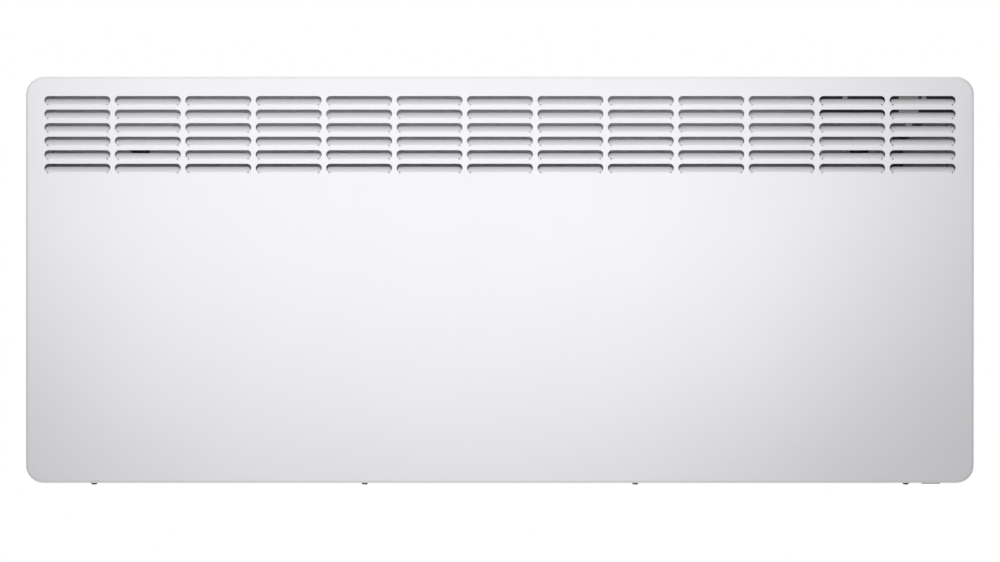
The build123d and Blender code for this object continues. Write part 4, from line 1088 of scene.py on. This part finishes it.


# ---------------------------------------------------------------------------
# Wall bracket. Two galvanised channels with hooks, two rails welded between them,
# and at the top two black catches, each pushed down by a bent spring strip. The
# catches' black is painted shade, standing for the dark seen through the rear panel's windows.

for part in ("bracket_leg_left", "bracket_leg_right", "bracket_rail_upper", "bracket_rail_lower"):
    softened(part, galvanised, 0.15 * MM, body="wall_bracket")
# The catches' black is painted shade: it stands for the dark seen through the rear panel's windows.
catch_black_painted_shade = moulded(
    "catch_black_painted_shade_coat",
    dark=(0.017, 0.017, 0.018),
    light=(0.027, 0.027, 0.028),
    grain=800.0,
    depth=0.04 * MM,
    smoothest=0.42,
    spread=0.16,
)
blued = Finish("blued_spring_steel", Metallic=1.0)
bluing = blued.noise(70.0, 3.0)
blued.colour(blued.mix(bluing, (0.16, 0.18, 0.24, 1), (0.30, 0.30, 0.33, 1)))
blued.roughness(0.26 + 0.12 * bluing)
blued.relief(bluing, 0.01 * MM, 0.3)
for side in ("left", "right"):
    catch = f"catch_{side}"
    softened(catch, catch_black_painted_shade, 0.3 * MM, body=catch)
    spring = softened(
        f"catch_spring_{side}", blued, 0.12 * MM, body="wall_bracket"
    )
    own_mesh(spring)


# ---------------------------------------------------------------------------
# Studio: a long lens square to the front, two soft key lights near the top of the
# casing, others behind, above and below, a white room and a plain pale floor.

FRAME_WIDTH = 1107.4 * MM  # what the frame holds at the front face
AXIS_BELOW_MIDDLE = 1.3 * MM
CAMERA_BACK, CAMERA_REACH = 8.0, 100.0
SENSOR = 36.0
camera_data = bpy.data.cameras.new("camera")
camera_data.sensor_width = SENSOR
camera_data.lens = SENSOR * CAMERA_BACK / FRAME_WIDTH
camera_data.clip_end = CAMERA_REACH
camera = bpy.data.objects.new("camera", camera_data)
camera.location = (0, FRONT_Y - CAMERA_BACK, -AXIS_BELOW_MIDDLE)
camera.rotation_euler = (math.pi / 2, 0, 0)
bpy.context.scene.collection.objects.link(camera)
bpy.context.scene.camera = camera
bpy.context.scene.view_settings.view_transform = "Standard"


def soft_light(name, place, aim, size, power):
    light = bpy.data.lights.new(name, "AREA")
    light.shape = "DISK"
    light.size = size
    light.energy = power
    lamp = bpy.data.objects.new(name, light)
    lamp.location = place
    lamp.rotation_euler = (Vector(aim) - Vector(place)).to_track_quat("-Z", "Y").to_euler()
    lamp.visible_camera = False
    bpy.context.scene.collection.objects.link(lamp)


soft_light("key_left", (-0.391, -0.70, 0.153), (0.40, FRONT_Y, 0.449), 0.787, 2.2)
soft_light("key_right", (0.19, -0.70, 0.108), (-0.243, FRONT_Y, 0.60), 0.807, 2.25)
soft_light("behind_left", (-1.7, 2.0, 1.4), (0, 0, 0), 0.7, 30.0)
soft_light("behind_right", (1.9, 1.6, -0.3), (0, 0, 0), 0.7, 16.0)
soft_light("above", (0.2, 0.5, 2.2), (0, 0, 0.2), 1.4, 11.0)
soft_light("below", (-0.3, 0.7, -1.7), (0, 0, -0.2), 1.2, 7.0)


class Backdrop(Finish):
    """The white room: paper white to the eye, softer as a light, and softest from below."""

    def __init__(self, name, sideways, upward):
        world = bpy.data.worlds.new(name)
        world.use_nodes = True
        bpy.context.scene.world = world
        self.tree = world.node_tree
        heading = self.node("ShaderNodeTexCoord", {}, {}, output="Generated")
        rise = self.node("ShaderNodeSeparateXYZ", {}, {0: heading}, output="Z")
        glow = sideways + upward * rise
        seen = self.node("ShaderNodeLightPath", {}, {}, output="Is Camera Ray")
        background = self.tree.nodes["Background"]
        self.feed(background.inputs["Color"], (1, 1, 1, 1))
        self.feed(background.inputs["Strength"], glow + seen * (1 - glow))


Backdrop("white_studio", sideways=0.49, upward=0.15)

FLOOR_Z, FLOOR_RADIUS, FLOOR_STEPS = -2.0, 1.6, 96
bpy.ops.mesh.primitive_circle_add(
    vertices=FLOOR_STEPS, radius=FLOOR_RADIUS, fill_type="NGON", location=(0, 0, FLOOR_Z)
)
floor = bpy.context.object
floor.name = "floor"
floor_paint = Finish("pale_floor", Base_Color=(0.85, 0.85, 0.85, 1), Roughness=0.8)
floor_paint.coat(floor)
